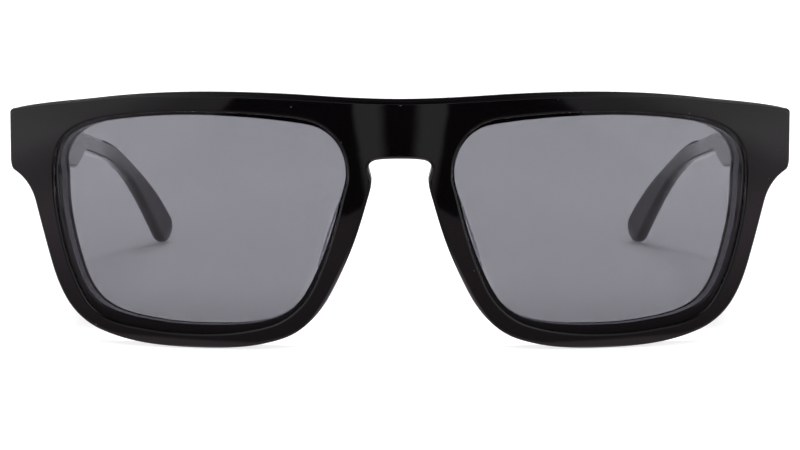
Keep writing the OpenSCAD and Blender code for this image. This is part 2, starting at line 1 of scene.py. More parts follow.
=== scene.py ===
# %% [markdown]
# # Acetate eyeglasses under a magnetic sun clip
#
# The object is a pair of thick black acetate eyeglasses. A second black front, the sun clip, covers the
# whole face and carries two grey lenses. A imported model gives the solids, the joints and the sizes. This
# lesson dresses that model: it draws the visible pieces again with smooth outlines and worked edges, gives
# each its finish, and lights them as a maker would for a catalogue.

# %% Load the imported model
import json
import math

import bmesh
import bpy
import numpy as np
from mathutils import Matrix, Vector


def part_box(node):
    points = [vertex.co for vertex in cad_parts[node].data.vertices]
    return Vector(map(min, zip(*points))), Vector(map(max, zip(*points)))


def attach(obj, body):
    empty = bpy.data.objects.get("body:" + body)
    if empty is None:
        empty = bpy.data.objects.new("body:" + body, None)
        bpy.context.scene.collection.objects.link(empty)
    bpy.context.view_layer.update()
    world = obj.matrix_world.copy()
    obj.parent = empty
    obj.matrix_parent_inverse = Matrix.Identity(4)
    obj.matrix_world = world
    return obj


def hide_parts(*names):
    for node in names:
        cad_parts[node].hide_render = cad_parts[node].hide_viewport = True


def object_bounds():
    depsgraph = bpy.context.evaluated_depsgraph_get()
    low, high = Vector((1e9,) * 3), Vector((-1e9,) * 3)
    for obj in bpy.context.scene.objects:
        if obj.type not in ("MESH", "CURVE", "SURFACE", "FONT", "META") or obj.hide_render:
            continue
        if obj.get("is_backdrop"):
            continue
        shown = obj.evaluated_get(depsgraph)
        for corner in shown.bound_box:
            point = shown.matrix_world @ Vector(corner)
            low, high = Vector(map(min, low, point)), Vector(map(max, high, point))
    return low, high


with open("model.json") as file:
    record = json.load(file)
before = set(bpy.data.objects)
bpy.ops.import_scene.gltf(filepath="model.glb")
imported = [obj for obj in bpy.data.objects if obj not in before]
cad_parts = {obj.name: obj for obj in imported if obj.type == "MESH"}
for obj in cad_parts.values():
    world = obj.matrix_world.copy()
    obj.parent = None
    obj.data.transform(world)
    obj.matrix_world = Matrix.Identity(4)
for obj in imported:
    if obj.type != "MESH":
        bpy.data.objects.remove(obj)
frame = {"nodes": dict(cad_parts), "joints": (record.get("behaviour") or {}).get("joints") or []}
cad_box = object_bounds()

# %% [markdown]
# ## Sums on sockets
#
# Both the finishes and the Geometry Nodes rules below are mostly arithmetic. The nodes could be drawn by
# hand in the editor, or added one by one. Adding a Math node for every plus sign makes a tree long and hard
# to read, so a small class wraps a socket and lets Python's own operators add the nodes. Every other node
# comes from one method, which takes the node's type, its settings and its socket values.

# %% A socket that can be calculated with, and the tree that it belongs to
class Wire:
    """An output socket. Python's operators on it add Math nodes to its tree."""

    def __init__(self, tree, socket):
        self.tree = tree
        self.socket = socket

    def sum_node(self, operation, *values):
        return self.tree.add("ShaderNodeMath", {"operation": operation}, dict(enumerate(values)))

    def __add__(self, other):
        return self.sum_node("ADD", self, other)

    def __radd__(self, other):
        return self.sum_node("ADD", other, self)

    def __sub__(self, other):
        return self.sum_node("SUBTRACT", self, other)

    def __rsub__(self, other):
        return self.sum_node("SUBTRACT", other, self)

    def __mul__(self, other):
        return self.sum_node("MULTIPLY", self, other)

    def __rmul__(self, other):
        return self.sum_node("MULTIPLY", other, self)

    def __truediv__(self, other):
        return self.sum_node("DIVIDE", self, other)

    def __rtruediv__(self, other):
        return self.sum_node("DIVIDE", other, self)

    def __pow__(self, other):
        return self.sum_node("POWER", self, other)

    def __gt__(self, other):
        return self.sum_node("GREATER_THAN", self, other)

    def __lt__(self, other):
        return self.sum_node("LESS_THAN", self, other)

    def __abs__(self):
        return self.sum_node("ABSOLUTE", self)

    def least(self, other):
        return self.sum_node("MINIMUM", self, other)

    def most(self, other):
        return self.sum_node("MAXIMUM", self, other)

    def sine(self):
        return self.sum_node("SINE", self)

    def cosine(self):
        return self.sum_node("COSINE", self)

    def rounded(self):
        return self.sum_node("ROUND", self)

    def kept(self, low=0.0, high=1.0):
        return self.most(low).least(high)

    def eased(self, start, end):
        """0 up to start, 1 from end on, and a smooth step between them."""
        return self.tree.add("ShaderNodeMapRange", {"interpolation_type": "SMOOTHSTEP"},
                             {0: self, 1: start, 2: end, 3: 0.0, 4: 1.0})

    def between(self, low, high):
        """low where this is 0, high where it is 1."""
        return low + self * (high - low)

    def also(self, name):
        """Another output of the same node."""
        return Wire(self.tree, self.socket.node.outputs[name])


class Tree:
    """A node tree. Every node that it gets comes from add."""

    def __init__(self, node_tree):
        self.node_tree = node_tree

    def add(self, kind, settings=None, sockets=None, out=0):
        node = self.node_tree.nodes.new(kind)
        for name, value in (settings or {}).items():
            setattr(node, name, value)
        for key, value in (sockets or {}).items():
            if isinstance(value, Wire):
                self.node_tree.links.new(value.socket, node.inputs[key])
            else:
                node.inputs[key].default_value = value
        return Wire(self, node.outputs[out] if len(node.outputs) else None)

    def vector_sum(self, operation, *values):
        return self.add("ShaderNodeVectorMath", {"operation": operation}, dict(enumerate(values)))

    def scaled(self, vector, amount):
        return self.add("ShaderNodeVectorMath", {"operation": "SCALE"}, {0: vector, "Scale": amount})

    def parts(self, vector):
        split = self.add("ShaderNodeSeparateXYZ", {}, {0: vector})
        return split, split.also("Y"), split.also("Z")

    def vector(self, x, y, z):
        return self.add("ShaderNodeCombineXYZ", {}, {0: x, 1: y, 2: z})


print("Sockets can now be added, multiplied and eased")

# %% [markdown]
# ## What every finish starts from
#
# A finish is a node tree of its own. Each one reads the piece's own coordinates, in metres, so a pattern
# stays on the piece when the piece moves. Patterns could be painted as images, but noise needs no image file
# and is sharp at any size. The few helpers here make soft noise, specks, mixed colours and shallow relief.

# %% Helpers for a finish
def finish(name):
    """An empty material, its tree and the coordinates of the piece that wears it."""
    material = bpy.data.materials.new(name)
    material.use_nodes = True
    material.node_tree.nodes.clear()
    tree = Tree(material.node_tree)
    return material, tree, tree.add("ShaderNodeTexCoord", out="Object")


def close_finish(tree, shader):
    tree.add("ShaderNodeOutputMaterial", {}, {"Surface": shader})


def cloud(tree, place, scale, detail=2.0, roughness=0.5, stretch=(1, 1, 1)):
    """Soft noise of a scale in cells per metre, stretched along an axis where a stretch is small."""
    placed = tree.add("ShaderNodeMapping", {}, {"Vector": place, "Scale": stretch})
    return tree.add("ShaderNodeTexNoise", {}, {"Vector": placed, "Scale": scale, "Detail": detail,
                                               "Roughness": roughness})


def dust(tree, place, scale, share, size):
    """1 on small round specks, which lie in a share of the cells. scale is in cells per metre."""
    warped = cloud(tree, place, scale * 0.7)
    cells = tree.add("ShaderNodeTexVoronoi", {}, {"Vector": place, "Scale": scale, "Randomness": 1.0})
    luck = tree.parts(cells.also("Color"))[0]
    return (1 - cells.eased(size * 0.6, size)) * (luck > 1 - share) * warped.eased(0.35, 0.6)


def mixed(tree, share, first, second):
    """The first colour where the share is 0, the second where it is 1."""
    colours = [value if isinstance(value, Wire) else (*value, 1) for value in (first, second)]
    return tree.add("ShaderNodeMix", {"data_type": "RGBA"}, {0: share, 6: colours[0], 7: colours[1]}, 2)


def relief(tree, height, strength, depth, over=None):
    """A bump with a depth in metres, laid over another bump if there is one."""
    sockets = {"Strength": strength, "Distance": depth, "Height": height}
    return tree.add("ShaderNodeBump", {}, sockets if over is None else {**sockets, "Normal": over})


print("A finish can now hold clouds, dust, mixed colours and relief")

# %% [markdown]
# ## Black acetate
#
# The fronts and the temples are cut from black cellulose acetate sheet and tumbled with polishing paste
# for days. The colour is very deep, so what is seen is nearly all reflection. Close up it shows a faint
# waviness left by the tumbling, a thin haze from handling, and a few specks of dust that sit lighter and
# duller on the gloss. A single dark colour would look like paint, so each of these is a mask that changes
# the colour, the roughness or the bump a little. The clip keeps the best polish, and the temples, which are
# held most, have the dullest.

# %% Polished and worn acetate
deep_black, handled_black = (0.0019, 0.0014, 0.0019), (0.0028, 0.0022, 0.0028)
dust_grey = (0.1, 0.098, 0.095)
speck_size = 0.09


def acetate(name, polish, haze, specks):
    """polish is the roughness, haze what handling adds to it, specks the share of cells with a speck."""
    material, tree, place = finish(name)
    handled = cloud(tree, place, 70, 3.0).eased(0.45, 0.75)
    grain = cloud(tree, place, 900)
    speck = dust(tree, place, 655, specks, speck_size)
    colour = mixed(tree, speck, mixed(tree, handled, deep_black, handled_black), dust_grey)
    wave = cloud(tree, place, 55, 1.0) + cloud(tree, place, 240, 1.0) * 0.12
    tumbled = relief(tree, wave, 0.5, 0.00005)
    close_finish(tree, tree.add("ShaderNodeBsdfPrincipled", {}, {
        "Base Color": colour,
        "Roughness": polish + handled * haze + grain * 0.008 + speck * 0.5,
        "IOR": 1.48,
        "Normal": relief(tree, speck, 0.4, 0.00003, tumbled),
    }))
    return material


clip_acetate = acetate("clip acetate, high polish", 0.028, 0.016, 0.08)
front_acetate = acetate("front acetate, high polish", 0.035, 0.03, 0.05)
temple_acetate = acetate("temple acetate, worn polish", 0.09, 0.06, 0.05)
print("Acetate finishes:", clip_acetate.name, "|", front_acetate.name, "|", temple_acetate.name)

# %% [markdown]
# ## Lens finishes
#
# A thin plastic lens hardly bends what is behind it, so it is told as a clear film at each face: most rays
# pass straight on and are tinted, and a few are mirrored, more of them at a grazing angle. A real glass
# shader would also bend rays at every face and darken the shadow, for no gain on a lens a millimetre thick.
# The sun lens holds a neutral grey dye that leans to blue. The coating keeps its mirror weak.

# %% Grey sun lens and clear lens
def lens_finish(name, tint, smear):
    """tint is the share of light that passes one face, smear how much more a wiped streak mirrors."""
    material, tree, place = finish(name)
    mirror = 0.024
    slant = tree.add("ShaderNodeLayerWeight", {}, {"Blend": 0.5}, "Facing")
    wiped = cloud(tree, place, 45, 3.0, stretch=(1, 1, 2.5)).eased(0.5, 0.8)
    speck = dust(tree, place, 900, 0.02, 0.06)
    gleam = (mirror + (1 - mirror) * slant ** 5 + wiped * smear + speck * 0.03).kept()
    through = tree.add("ShaderNodeBsdfTransparent", {}, {"Color": (*tint, 1)})
    mirrored = tree.add("ShaderNodeBsdfGlossy", {}, {"Color": (1, 1, 1, 1),
                                                     "Roughness": 0.03 + wiped * 0.05 + speck * 0.5})
    close_finish(tree, tree.add("ShaderNodeMixShader", {}, {0: gleam, 1: through, 2: mirrored}))
    return material


sun_grey = lens_finish("sun lens, neutral grey dye", (0.466, 0.4625, 0.491), 0.0015)
clear_plastic = lens_finish("clear lens, hard coat", (0.992, 0.995, 0.994), 0.001)
print("Lens finishes:", sun_grey.name, "|", clear_plastic.name)

# %% [markdown]
# ## The ground edge of a clear lens
#
# The edge of the clear lens is ground to a bevel that sits in the groove. It is left frosted, and shows from
# in front as a grey band beside the rim. The band could be painted on the wall of the rim, but it belongs to
# the lens, so the lens wears this second finish on its edge: pale, matt and gritty.

# %% Frosted plastic
def edge_finish(name):
    material, tree, place = finish(name)
    grit = cloud(tree, place, 3000)
    frost = mixed(tree, grit.eased(0.3, 0.7), (0.74, 0.74, 0.76), (0.9, 0.9, 0.92))
    close_finish(tree, tree.add("ShaderNodeBsdfPrincipled", {}, {
        "Base Color": frost, "Roughness": 0.5 + grit * 0.3, "IOR": 1.5,
        "Normal": relief(tree, grit, 0.3, 0.00002)}))
    return material


ground_edge = edge_finish("lens edge, ground")
print("Edge finish:", ground_edge.name)

# %% [markdown]
# ## Clear pad plastic
#
# Beside the nose a pale sliver with a darker border shows through each lens. Black acetate would be dark
# there, so the pads are taken for clear plastic. They are thick, so this finish does bend the rays.

# %% Clear plastic for the nose pads
def pad_finish(name):
    material, tree, place = finish(name)
    milk = cloud(tree, place, 160).eased(0.35, 0.7)
    close_finish(tree, tree.add("ShaderNodeBsdfPrincipled", {}, {
        "Base Color": mixed(tree, milk, (0.78, 0.78, 0.81), (0.7, 0.7, 0.73)),
        "Roughness": 0.12 + milk * 0.08,
        "IOR": 1.49,
        "Transmission Weight": 1.0,
        "Normal": relief(tree, milk, 0.3, 0.00004),
    }))
    return material


pad_plastic = pad_finish("nose pad, clear plastic")
print("Pad finish:", pad_plastic.name)

# %% [markdown]
# ## Metal finishes
#
# The hinges are nickel silver, milled and then brushed along their length. The screws and the rivets are
# polished after turning, so only faint marks are left, and these run all ways. The magnets wear a bright
# nickel plating, and the core wires are rolled flat. One function covers them: the marks are noise, drawn
# out along one axis where the metal is brushed or rolled. They change the roughness and the bump, while a
# slow cloud shifts the tone.

# %% Brushed, polished, plated and rolled metal
def metal(name, colour, shade, polish, stretch, marks):
    """shade is the tone of the duller patches, stretch the way the marks run, marks how deep they cut."""
    material, tree, place = finish(name)
    brush = cloud(tree, place, 2600, 3.0, 0.6, stretch)
    tone = cloud(tree, place, 420).eased(0.35, 0.7)
    close_finish(tree, tree.add("ShaderNodeBsdfPrincipled", {}, {
        "Base Color": mixed(tree, tone, colour, shade),
        "Metallic": 1.0,
        "Roughness": polish + brush * 0.16 + tone * 0.05,
        "Normal": relief(tree, brush, marks, 0.00001),
    }))
    return material


along_height, along_depth, all_ways = (1, 1, 0.08), (1, 0.05, 1), (1, 1, 1)
brushed_nickel = metal("hinge, brushed nickel silver", (0.66, 0.65, 0.63), (0.56, 0.55, 0.53), 0.2,
                       along_height, 0.5)
polished_steel = metal("screw, turned and polished", (0.72, 0.72, 0.74), (0.64, 0.64, 0.66), 0.12,
                       all_ways, 0.2)
nickel_plate = metal("magnet, nickel plating", (0.70, 0.69, 0.67), (0.62, 0.61, 0.60), 0.1, all_ways, 0.15)
rolled_wire = metal("core wire, rolled nickel silver", (0.60, 0.59, 0.57), (0.5, 0.49, 0.47), 0.28,
                    along_depth, 0.6)
for metal_finish in (brushed_nickel, polished_steel, nickel_plate, rolled_wire):
    print("Metal finish:", metal_finish.name)

# %% [markdown]
# ## From rings of points to a closed piece
#
# Most pieces here are a run of closed rings joined by strips: a lens, a pad, a screw. They could be modelled
# by hand from cubes and cylinders, but a ring can follow a measured outline exactly. A few helpers make such
# a mesh, merge what touches, turn its faces outwards and keep worked corners crisp. Everything is drawn in
# millimetres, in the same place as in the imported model, and brought to metres at the end.

# %% Helpers that make, merge, cut, mirror and hand over a mesh
MM = 0.001
merge_distance = 2e-7


def shown(name, data):
    """A new object in the scene, at the origin."""
    made = bpy.data.objects.new(name, data)
    bpy.context.scene.collection.objects.link(made)
    return made


def piece_from(name, points, faces, material):
    """A closed piece from points in millimetres and lists of point numbers."""
    mesh = bpy.data.meshes.new(name)
    mesh.from_pydata([tuple(p * MM for p in point) for point in points], [], faces)
    tidy(mesh)
    mesh.materials.append(material)
    return shown(name, mesh)


def tidy(mesh):
    """Merges what touches, drops what collapsed and turns every face outwards."""
    work = bmesh.new()
    work.from_mesh(mesh)
    bmesh.ops.remove_doubles(work, verts=work.verts, dist=merge_distance)
    loose = [v for v in work.verts if not v.link_faces]
    bmesh.ops.delete(work, geom=loose, context="VERTS")
    bmesh.ops.recalc_face_normals(work, faces=work.faces)
    work.to_mesh(mesh)
    work.free()


def soften(piece, corner=35):
    """Smooth shading, with edges sharper than the corner angle kept crisp."""
    piece.data.shade_smooth()
    piece.data.set_sharp_from_angle(angle=math.radians(corner))


def settle(piece):
    """Turns the piece's modifiers into a plain mesh."""
    graph = bpy.context.evaluated_depsgraph_get()
    made = bpy.data.meshes.new_from_object(piece.evaluated_get(graph))
    piece.modifiers.clear()
    piece.data = made
    return piece


def cut_away(piece, cutter):
    """Cuts one closed piece out of another, and throws the cutter away."""
    knife = piece.modifiers.new("cut", "BOOLEAN")
    knife.operation = "DIFFERENCE"
    knife.solver = "EXACT"
    knife.object = cutter
    settle(piece)
    bpy.data.objects.remove(cutter)


def left_of(piece, name):
    """The mirrored copy for the left side."""
    mesh = piece.data.copy()
    mesh.name = name
    mesh.transform(Matrix.Scale(-1, 4, (1, 0, 0)))
    mesh.flip_normals()
    return shown(name, mesh)


def open_edges(piece):
    """How many edges don't join exactly two faces. A closed piece has none."""
    work = bmesh.new()
    work.from_mesh(piece.data)
    count = sum(1 for e in work.edges if len(e.link_faces) != 2)
    work.free()
    return count


def hand_over(piece, body, slot, *stands_for):
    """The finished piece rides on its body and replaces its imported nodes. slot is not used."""
    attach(piece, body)
    if stands_for:
        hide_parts(*stands_for)
    triangles = sum(len(p.vertices) - 2 for p in piece.data.polygons)
    print(f"{piece.name}: {triangles} triangles, {open_edges(piece)} open edges, rides on {body}")


print("Mesh helpers ready. A millimetre is", MM, "m")

# %% [markdown]
# ## The outline of a front
#
# A designer draws half a front with a few knots and the way the line heads through each, then mirrors it.
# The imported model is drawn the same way. Here there are more points between the knots, so the outline loses
# its corners, and a few knots beside the nose sit a little nearer the centre. The outline could be taken
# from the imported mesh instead, but its few corners would show in the gloss. The drawing is flat: s runs
# along the sheet from the centre line, z is the height. The clip and the optical front share the line,
# except that the clip's foot sits a little higher.

# %% Knots and the smooth line through them
lens_width, lens_height, bridge_width = 56.2, 41.8, 19.5
opening_nasal = bridge_width / 2
opening_outer = opening_nasal + lens_width
opening_bottom = 2.85
front_end = opening_outer + 8.15
brow_top = opening_bottom + lens_height + 2.75
corner_z = brow_top - 3.55
foot_z = corner_z - 11.2
bridge_top = brow_top - 1.1
bridge_foot = bridge_top - 10.6
keyhole = 5.75


def turn(a, b):
    """The turn from heading a to heading b, in degrees, the short way round."""
    return (b - a + 540) % 360 - 180


def line_between(a, b, count):
    """Points of the smooth line from knot a up to knot b, where a knot is (s, z, heading)."""
    start, end = np.array(a[:2], float), np.array(b[:2], float)
    reach = np.linalg.norm(end - start) * 2 / 3 / (1 + math.cos(math.radians(turn(a[2], b[2]) / 2)))
    heads = [np.array([math.cos(math.radians(k[2])), math.sin(math.radians(k[2]))]) for k in (a, b)]
    first, second = start + reach * heads[0], end - reach * heads[1]
    f = (np.arange(count) / count)[:, None]
    return start * (1 - f) ** 3 + first * 3 * f * (1 - f) ** 2 + second * 3 * f * f * (1 - f) + end * f ** 3


def half_outline(foot):
    """Knots of (s, z, heading, points up to the next knot), from the top centre down to the keyhole."""
    knots = [
        (0, bridge_top, 0, 22), (lens_width * 0.3, brow_top - 0.495, 3.2, 16),
        (lens_width * 0.6, brow_top, 0, 20), (opening_outer - 8, brow_top - 1.4555, -7.5, 18),
        (front_end - 0.75, corner_z, -12, 8), (front_end, corner_z - 0.85, -90, 12),
        (front_end, foot_z + 1.9, -90, 6), (front_end - 0.25, foot_z + 0.25, -108, 6),
        (front_end - 1, foot_z - 0.57, -149, 12), (front_end - 4.95, foot_z - 6, -105, 12),
        (front_end - 8, opening_bottom + 12.75, -106.5, 14),
        (front_end - 11.15, opening_bottom + 5.45, -123, 14),
        (front_end - 17.55, opening_bottom + 0.17, -158, 16),
        (opening_nasal + lens_width * 0.48, foot, 180, 16),
        (opening_nasal + lens_width * 0.285, foot + 0.88, 168, 14),
        (opening_nasal + 8.55, foot + 3.8, 143, 14), (opening_nasal + 3.05, foot + 10.5, 118, 12),
        (opening_nasal - 0.85, opening_bottom + 16.1, 111.5, 12),
        (keyhole + 0.3, bridge_foot - 7.9, 106, 8), (keyhole - 0.5, bridge_foot - 4.1, 90, 8),
        (keyhole, bridge_foot - 1.5, 90, 10), (keyhole - 1.6, bridge_foot - 0.2, 172, 8),
        (0, bridge_foot, 180, 0),
    ]
    runs = [line_between(knots[i], knots[i + 1], knots[i][3]) for i in range(len(knots) - 1)]
    return np.vstack([*runs, [knots[-1][:2]]])


clip_edge = half_outline(0.2)
front_edge = half_outline(0)
print("Points on half an outline:", len(clip_edge))
print("Widest, as a flat sheet:", round(clip_edge[:, 0].max() * 2, 1), "mm")

# %% [markdown]
# The opening for a lens is a closed line of its own, drawn with knots in shares of the lens's width and
# height, and a heading. The optical front's lies a little inside the clip's at the top, bottom and nose,
# which is why its rim shows as a second outline behind the sun lens. Rays from one point to every point of
# the outline find where each of them crosses the opening, so that both lines have the same number of points
# and can be joined by strips. The rays start at the height of the bridge, so that the keyhole hides no part
# of the outline from them.

# %% The two lens openings, met by rays towards every point of the outline
clip_knots = [
    (-0.002, 0.72, 90), (0.147, 0.958, 8), (0.46, 0.986, 1), (0.758, 0.961, -8), (0.979, 0.791, -75),
    (0.987, 0.692, -91), (0.964, 0.433, -103), (0.926, 0.259, -113), (0.829, 0.073, -150),
    (0.652, 0.013, -172), (0.471, 0, 179), (0.257, 0.041, 163), (0.135, 0.161, 126), (0.083, 0.301, 112),
    (0.015, 0.611, 102.5),
]
front_knots = [
    (0.007, 0.708, 92), (0.133, 0.928, 9), (0.454, 0.964, 1.5), (0.755, 0.943, -7.5), (0.99, 0.768, -76),
    (0.988, 0.667, -89), (0.968, 0.424, -103.5), (0.93, 0.257, -111), (0.838, 0.102, -152),
    (0.644, 0.039, -172.5), (0.465, 0.028, 179), (0.255, 0.061, 163), (0.15, 0.165, 123.5),
    (0.096, 0.305, 113.5), (0.027, 0.591, 104.5),
]
points_between_knots, points_on_centre_line = 40, 21


def opening_line(knots):
    placed = [(opening_nasal + u * lens_width, opening_bottom + v * lens_height, h) for u, v, h in knots]
    ends = placed[1:] + placed[:1]
    return np.vstack([line_between(a, b, points_between_knots) for a, b in zip(placed, ends)])


clip_line, front_line = opening_line(clip_knots), opening_line(front_knots)
ray_centre = np.array([opening_nasal + lens_width * 0.5, opening_bottom + lens_height * 0.86])


def ringed(edge):
    """Half an outline closed along the centre line."""
    f = (np.arange(1, points_on_centre_line + 1) / (points_on_centre_line + 1))[:, None]
    return np.vstack([edge, edge[-1] + (edge[0] - edge[-1]) * f])


def ray_hits(line, targets):
    """Where the rays from the centre to the targets cross a closed line."""
    a = line - ray_centre
    b = np.roll(line, -1, axis=0) - ray_centre
    hits = []
    for aim in targets - ray_centre:
        ca = aim[0] * a[:, 1] - aim[1] * a[:, 0]
        cb = aim[0] * b[:, 1] - aim[1] * b[:, 0]
        k = np.where((ca >= 0) & (cb < 0) & (a @ aim > 0))[0][0]
        hits.append(ray_centre + a[k] + (b[k] - a[k]) * ca[k] / (ca[k] - cb[k]))
    return np.array(hits)


clip_opening = ray_hits(clip_line, ringed(clip_edge))
front_opening = ray_hits(front_line, ringed(front_edge))
print("Openings:", clip_opening.shape, front_opening.shape)

# %% [markdown]
# ## Bending a sheet into a front
#
# Warm acetate is bent over a former, so both fronts lie on one upright cylinder. Blender's Simple Deform
# modifier could bend a flat mesh, but a formula keeps the depth of every ring exact, so here the flat rings
# are bent as they are placed.

# %% The bend, and the shift of a line
bend_radius = 220.0
front_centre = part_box("clip_frame")[0].y / MM
sharpest_mitre = 0.5


def bent(flat, depth):
    """Points (s, z) of the flat sheet on the cylinder, at a depth behind the clip's face."""
    angle = flat[:, 0] / bend_radius
    return np.column_stack([
        (bend_radius - depth) * np.sin(angle),
        front_centre + bend_radius - (bend_radius - depth) * np.cos(angle),
        flat[:, 1],
    ])


def side_normals(before, here, after):
    """Ways out of a line, longer at a corner so that a shifted line stays parallel."""
    a = here - before
    b = after - here
    a /= np.linalg.norm(a, axis=1)[:, None]
    b /= np.linalg.norm(b, axis=1)[:, None]
    way = a + b
    way /= np.linalg.norm(way, axis=1)[:, None]
    out = np.column_stack([-way[:, 1], way[:, 0]])
    left = np.column_stack([-a[:, 1], a[:, 0]])
    return out / np.maximum(sharpest_mitre, (out * left).sum(1))[:, None]


def grown(ring, d):
    """A closed line shifted outwards by d."""
    return ring + d * side_normals(np.roll(ring, 1, axis=0), ring, np.roll(ring, -1, axis=0))


def edge_drawn_in(edge, d):
    """Half an outline shifted inwards by d. Its ends stay on the centre line."""
    inner = edge[1:-1] - d * side_normals(edge[:-2], edge[1:-1], edge[2:])
    return np.vstack([edge[0] - [0, d], inner, edge[-1] + [0, d]])


def quarter(radius, steps):
    """Pairs of (how far in, how deep) along a quarter circle, from the face to the side."""
    turns = np.linspace(0, math.pi / 2, steps + 1)
    return [(radius * (1 - math.sin(t)), radius * (1 - math.cos(t))) for t in turns]


def narrowed(opening, amount):
    """An opening drawn in by an amount at its hinge side, where the wall slants."""
    towards_hinge = np.clip((opening[:, 0] - opening_nasal) / lens_width * 2.5 - 1.5, 0, 1)[:, None]
    return opening - towards_hinge * [amount, 0]


print("Bend radius:", bend_radius, "mm, face of the clip at y", round(front_centre, 2), "mm")

# %% [markdown]
# ## The shell of a front
#
# The section of a front runs from the worked lip of the opening, over the face, round the soft outer edge,
# over the back, and through the groove that holds the lens. A Bevel modifier could round a plain sheet, but
# it would leave a wide strip beside each curve, and that would bend the reflection. So the edges are quarter
# circles in small steps, and a narrow strip follows each. The sides are filed a hair under, so that no side
# shows as a bright thread from in front. The opening of the optical front narrows towards the back on its
# hinge side, where its wall shows through the sun lens.

# %% Join the rings of a section into one closed shell
edge_round, edge_steps = 0.55, 6
lip_round, lip_steps = 0.42, 4
groove_depth, play, undercut = 0.8, 0.05, 0.06
face_shares = [0.0, 0.02, 0.16, 0.3, 0.44, 0.58, 0.72, 0.86, 0.97, 1.0]


def front_shell(name, edge, opening, near, far, lens_near, lens_far, material, narrowing=0.0):
    """near, far and the lens's own depths count from the clip's face."""
    lip, outer = quarter(lip_round, lip_steps), quarter(edge_round, edge_steps)
    rings, open_rings = [], []

    def opening_at(depth):
        return narrowed(opening, narrowing * (depth - near) / (far - near))

    def add(flat, depth, is_open=False):
        rings.append(bent(flat, depth))
        open_rings.append(is_open)

    def face(depth, around, outwards, under=0.0):
        inside, outside = grown(around, lip_round), ringed(edge_drawn_in(edge, edge_round + under))
        for f in outwards:
            add(inside + (outside - inside) * f, depth, f == 1.0)

    for i, d in reversed(lip[1:]):
        add(grown(opening, i), near + d)
    face(near, opening, face_shares)
    for i, d in outer[1:]:
        add(ringed(edge_drawn_in(edge, i)), near + d, True)
    for i, d in reversed(outer[1:]):
        add(ringed(edge_drawn_in(edge, i + undercut)), far - d, True)
    face(far, opening_at(far), face_shares[::-1], undercut)
    for i, d in lip[1:]:
        add(grown(opening_at(far), i), far - d)
    groove = grown(opening, groove_depth)
    add(opening_at(lens_far), lens_far + play)
    add(groove, lens_far + play)
    add(groove, lens_near - play)
    add(opening_at(lens_near), lens_near - play)
    return joined_rings(name, rings, open_rings, len(edge) - 1, material)


def joined_rings(name, rings, open_rings, last_edge, material):
    """Both halves of a front. Open rings have no strips along the centre line, where the halves meet."""
    count = len(rings[0])
    points, faces = [], []
    for side in (1, -1):
        start = len(points)
        for ring in rings:
            points += [(side * x, y, z) for x, y, z in ring]
        for k in range(len(rings)):
            m = (k + 1) % len(rings)
            a, b = start + k * count, start + m * count
            for i in range(count):
                if open_rings[k] and open_rings[m] and i >= last_edge:
                    continue
                j = (i + 1) % count
                strip = [a + i, b + i, b + j, a + j]
                faces.append(strip if side == 1 else strip[::-1])
    return piece_from(name, points, faces, material)


# %% Make both fronts
clip_sheet, clip_gap, front_sheet = 2.4, 0.3, 4.2
sun_lens, eye_lens = 1.1, 1.8
front_narrowing = 0.75
front_face = clip_sheet + clip_gap
front_back = front_face + front_sheet
sun_near = (clip_sheet - sun_lens) / 2
eye_near = front_face + (front_sheet - eye_lens) / 2
sun_clip_front = front_shell("sun_clip_front", clip_edge, clip_opening, 0.0, clip_sheet,
                             sun_near, sun_near + sun_lens, clip_acetate)
eyeglass_front = front_shell("eyeglass_front", front_edge, front_opening, front_face, front_back,
                             eye_near, eye_near + eye_lens, front_acetate, front_narrowing)
print("Open edges of the two fronts:", open_edges(sun_clip_front), open_edges(eyeglass_front))

# %% [markdown]
# ## Pockets for magnets and hinge leaves
#
# Magnets sit flush in round pockets, four in the clip's back and four in the front's face. Each hinge leaf
# is let into the back of the front. A pocket could be left out, with the metal simply pushed into the
# acetate, but then the two surfaces would flicker where they coincide. So the pockets are cut with a
# boolean, a little larger than what they hold, as they are milled in the real sheet after it is bent. They
# only show when the clip is off or a temple is folded.

# %% Sizes of the hinges and magnets
hinge = next(j for j in frame["joints"] if j["child"] == "right_temple")
axis_x, axis_y = hinge["pos_m"][0] / MM, hinge["pos_m"][1] / MM
hinge_offset, leaf_thickness, leaf_height, hinge_z = 1.8, 1.0, 6.4, 37.6
leaf_foot, leaf_top = hinge_z - leaf_height / 2, hinge_z + leaf_height / 2
front_leaf_start, front_leaf_end = -1.2, 5.0
temple_leaf_start, temple_leaf_end = -0.5, 8.5
front_angle = math.degrees(math.asin(axis_x / (bend_radius - front_back - hinge_offset)))
toe_in = 3.0
magnet_thickness = 1.0
end_magnets = (front_end - 4.1, (corner_z + foot_z) / 2 + 0.6, 3.0)
bridge_magnets = (4.2, (bridge_top + bridge_foot) / 2 + 0.4, 2.5)
print("The back of the front turns by", round(front_angle, 1), "degrees at the hinge")


# %% Cutters in the shape of boxes and discs
def block(points, faces, low, high, place):
    """Adds a box to lists of points and faces, turned and moved by a matrix."""
    start = len(points)
    for x in (low[0], high[0]):
        for y in (low[1], high[1]):
            for z in (low[2], high[2]):
                points.append(tuple(place @ Vector((x, y, z))))
    for quad in ((0, 1, 3, 2), (4, 6, 7, 5), (0, 4, 5, 1), (2, 3, 7, 6), (0, 2, 6, 4), (1, 5, 7, 3)):
        faces.append([start + i for i in quad])


def disc(points, faces, centre, place, radius, thickness, sides=48):
    """Adds a disc that lies along y, turned by a matrix about its centre."""
    start = len(points)
    for y in (0, thickness):
        for k in range(sides):
            t = 2 * math.pi * k / sides
            spot = place @ Vector((radius * math.cos(t), y, radius * math.sin(t)))
            points.append(tuple(spot + Vector(centre)))
    faces.append([start + k for k in range(sides)])
    faces.append([start + 2 * sides - 1 - k for k in range(sides)])
    for k in range(sides):
        j = (k + 1) % sides
        faces.append([start + k, start + sides + k, start + sides + j, start + j])


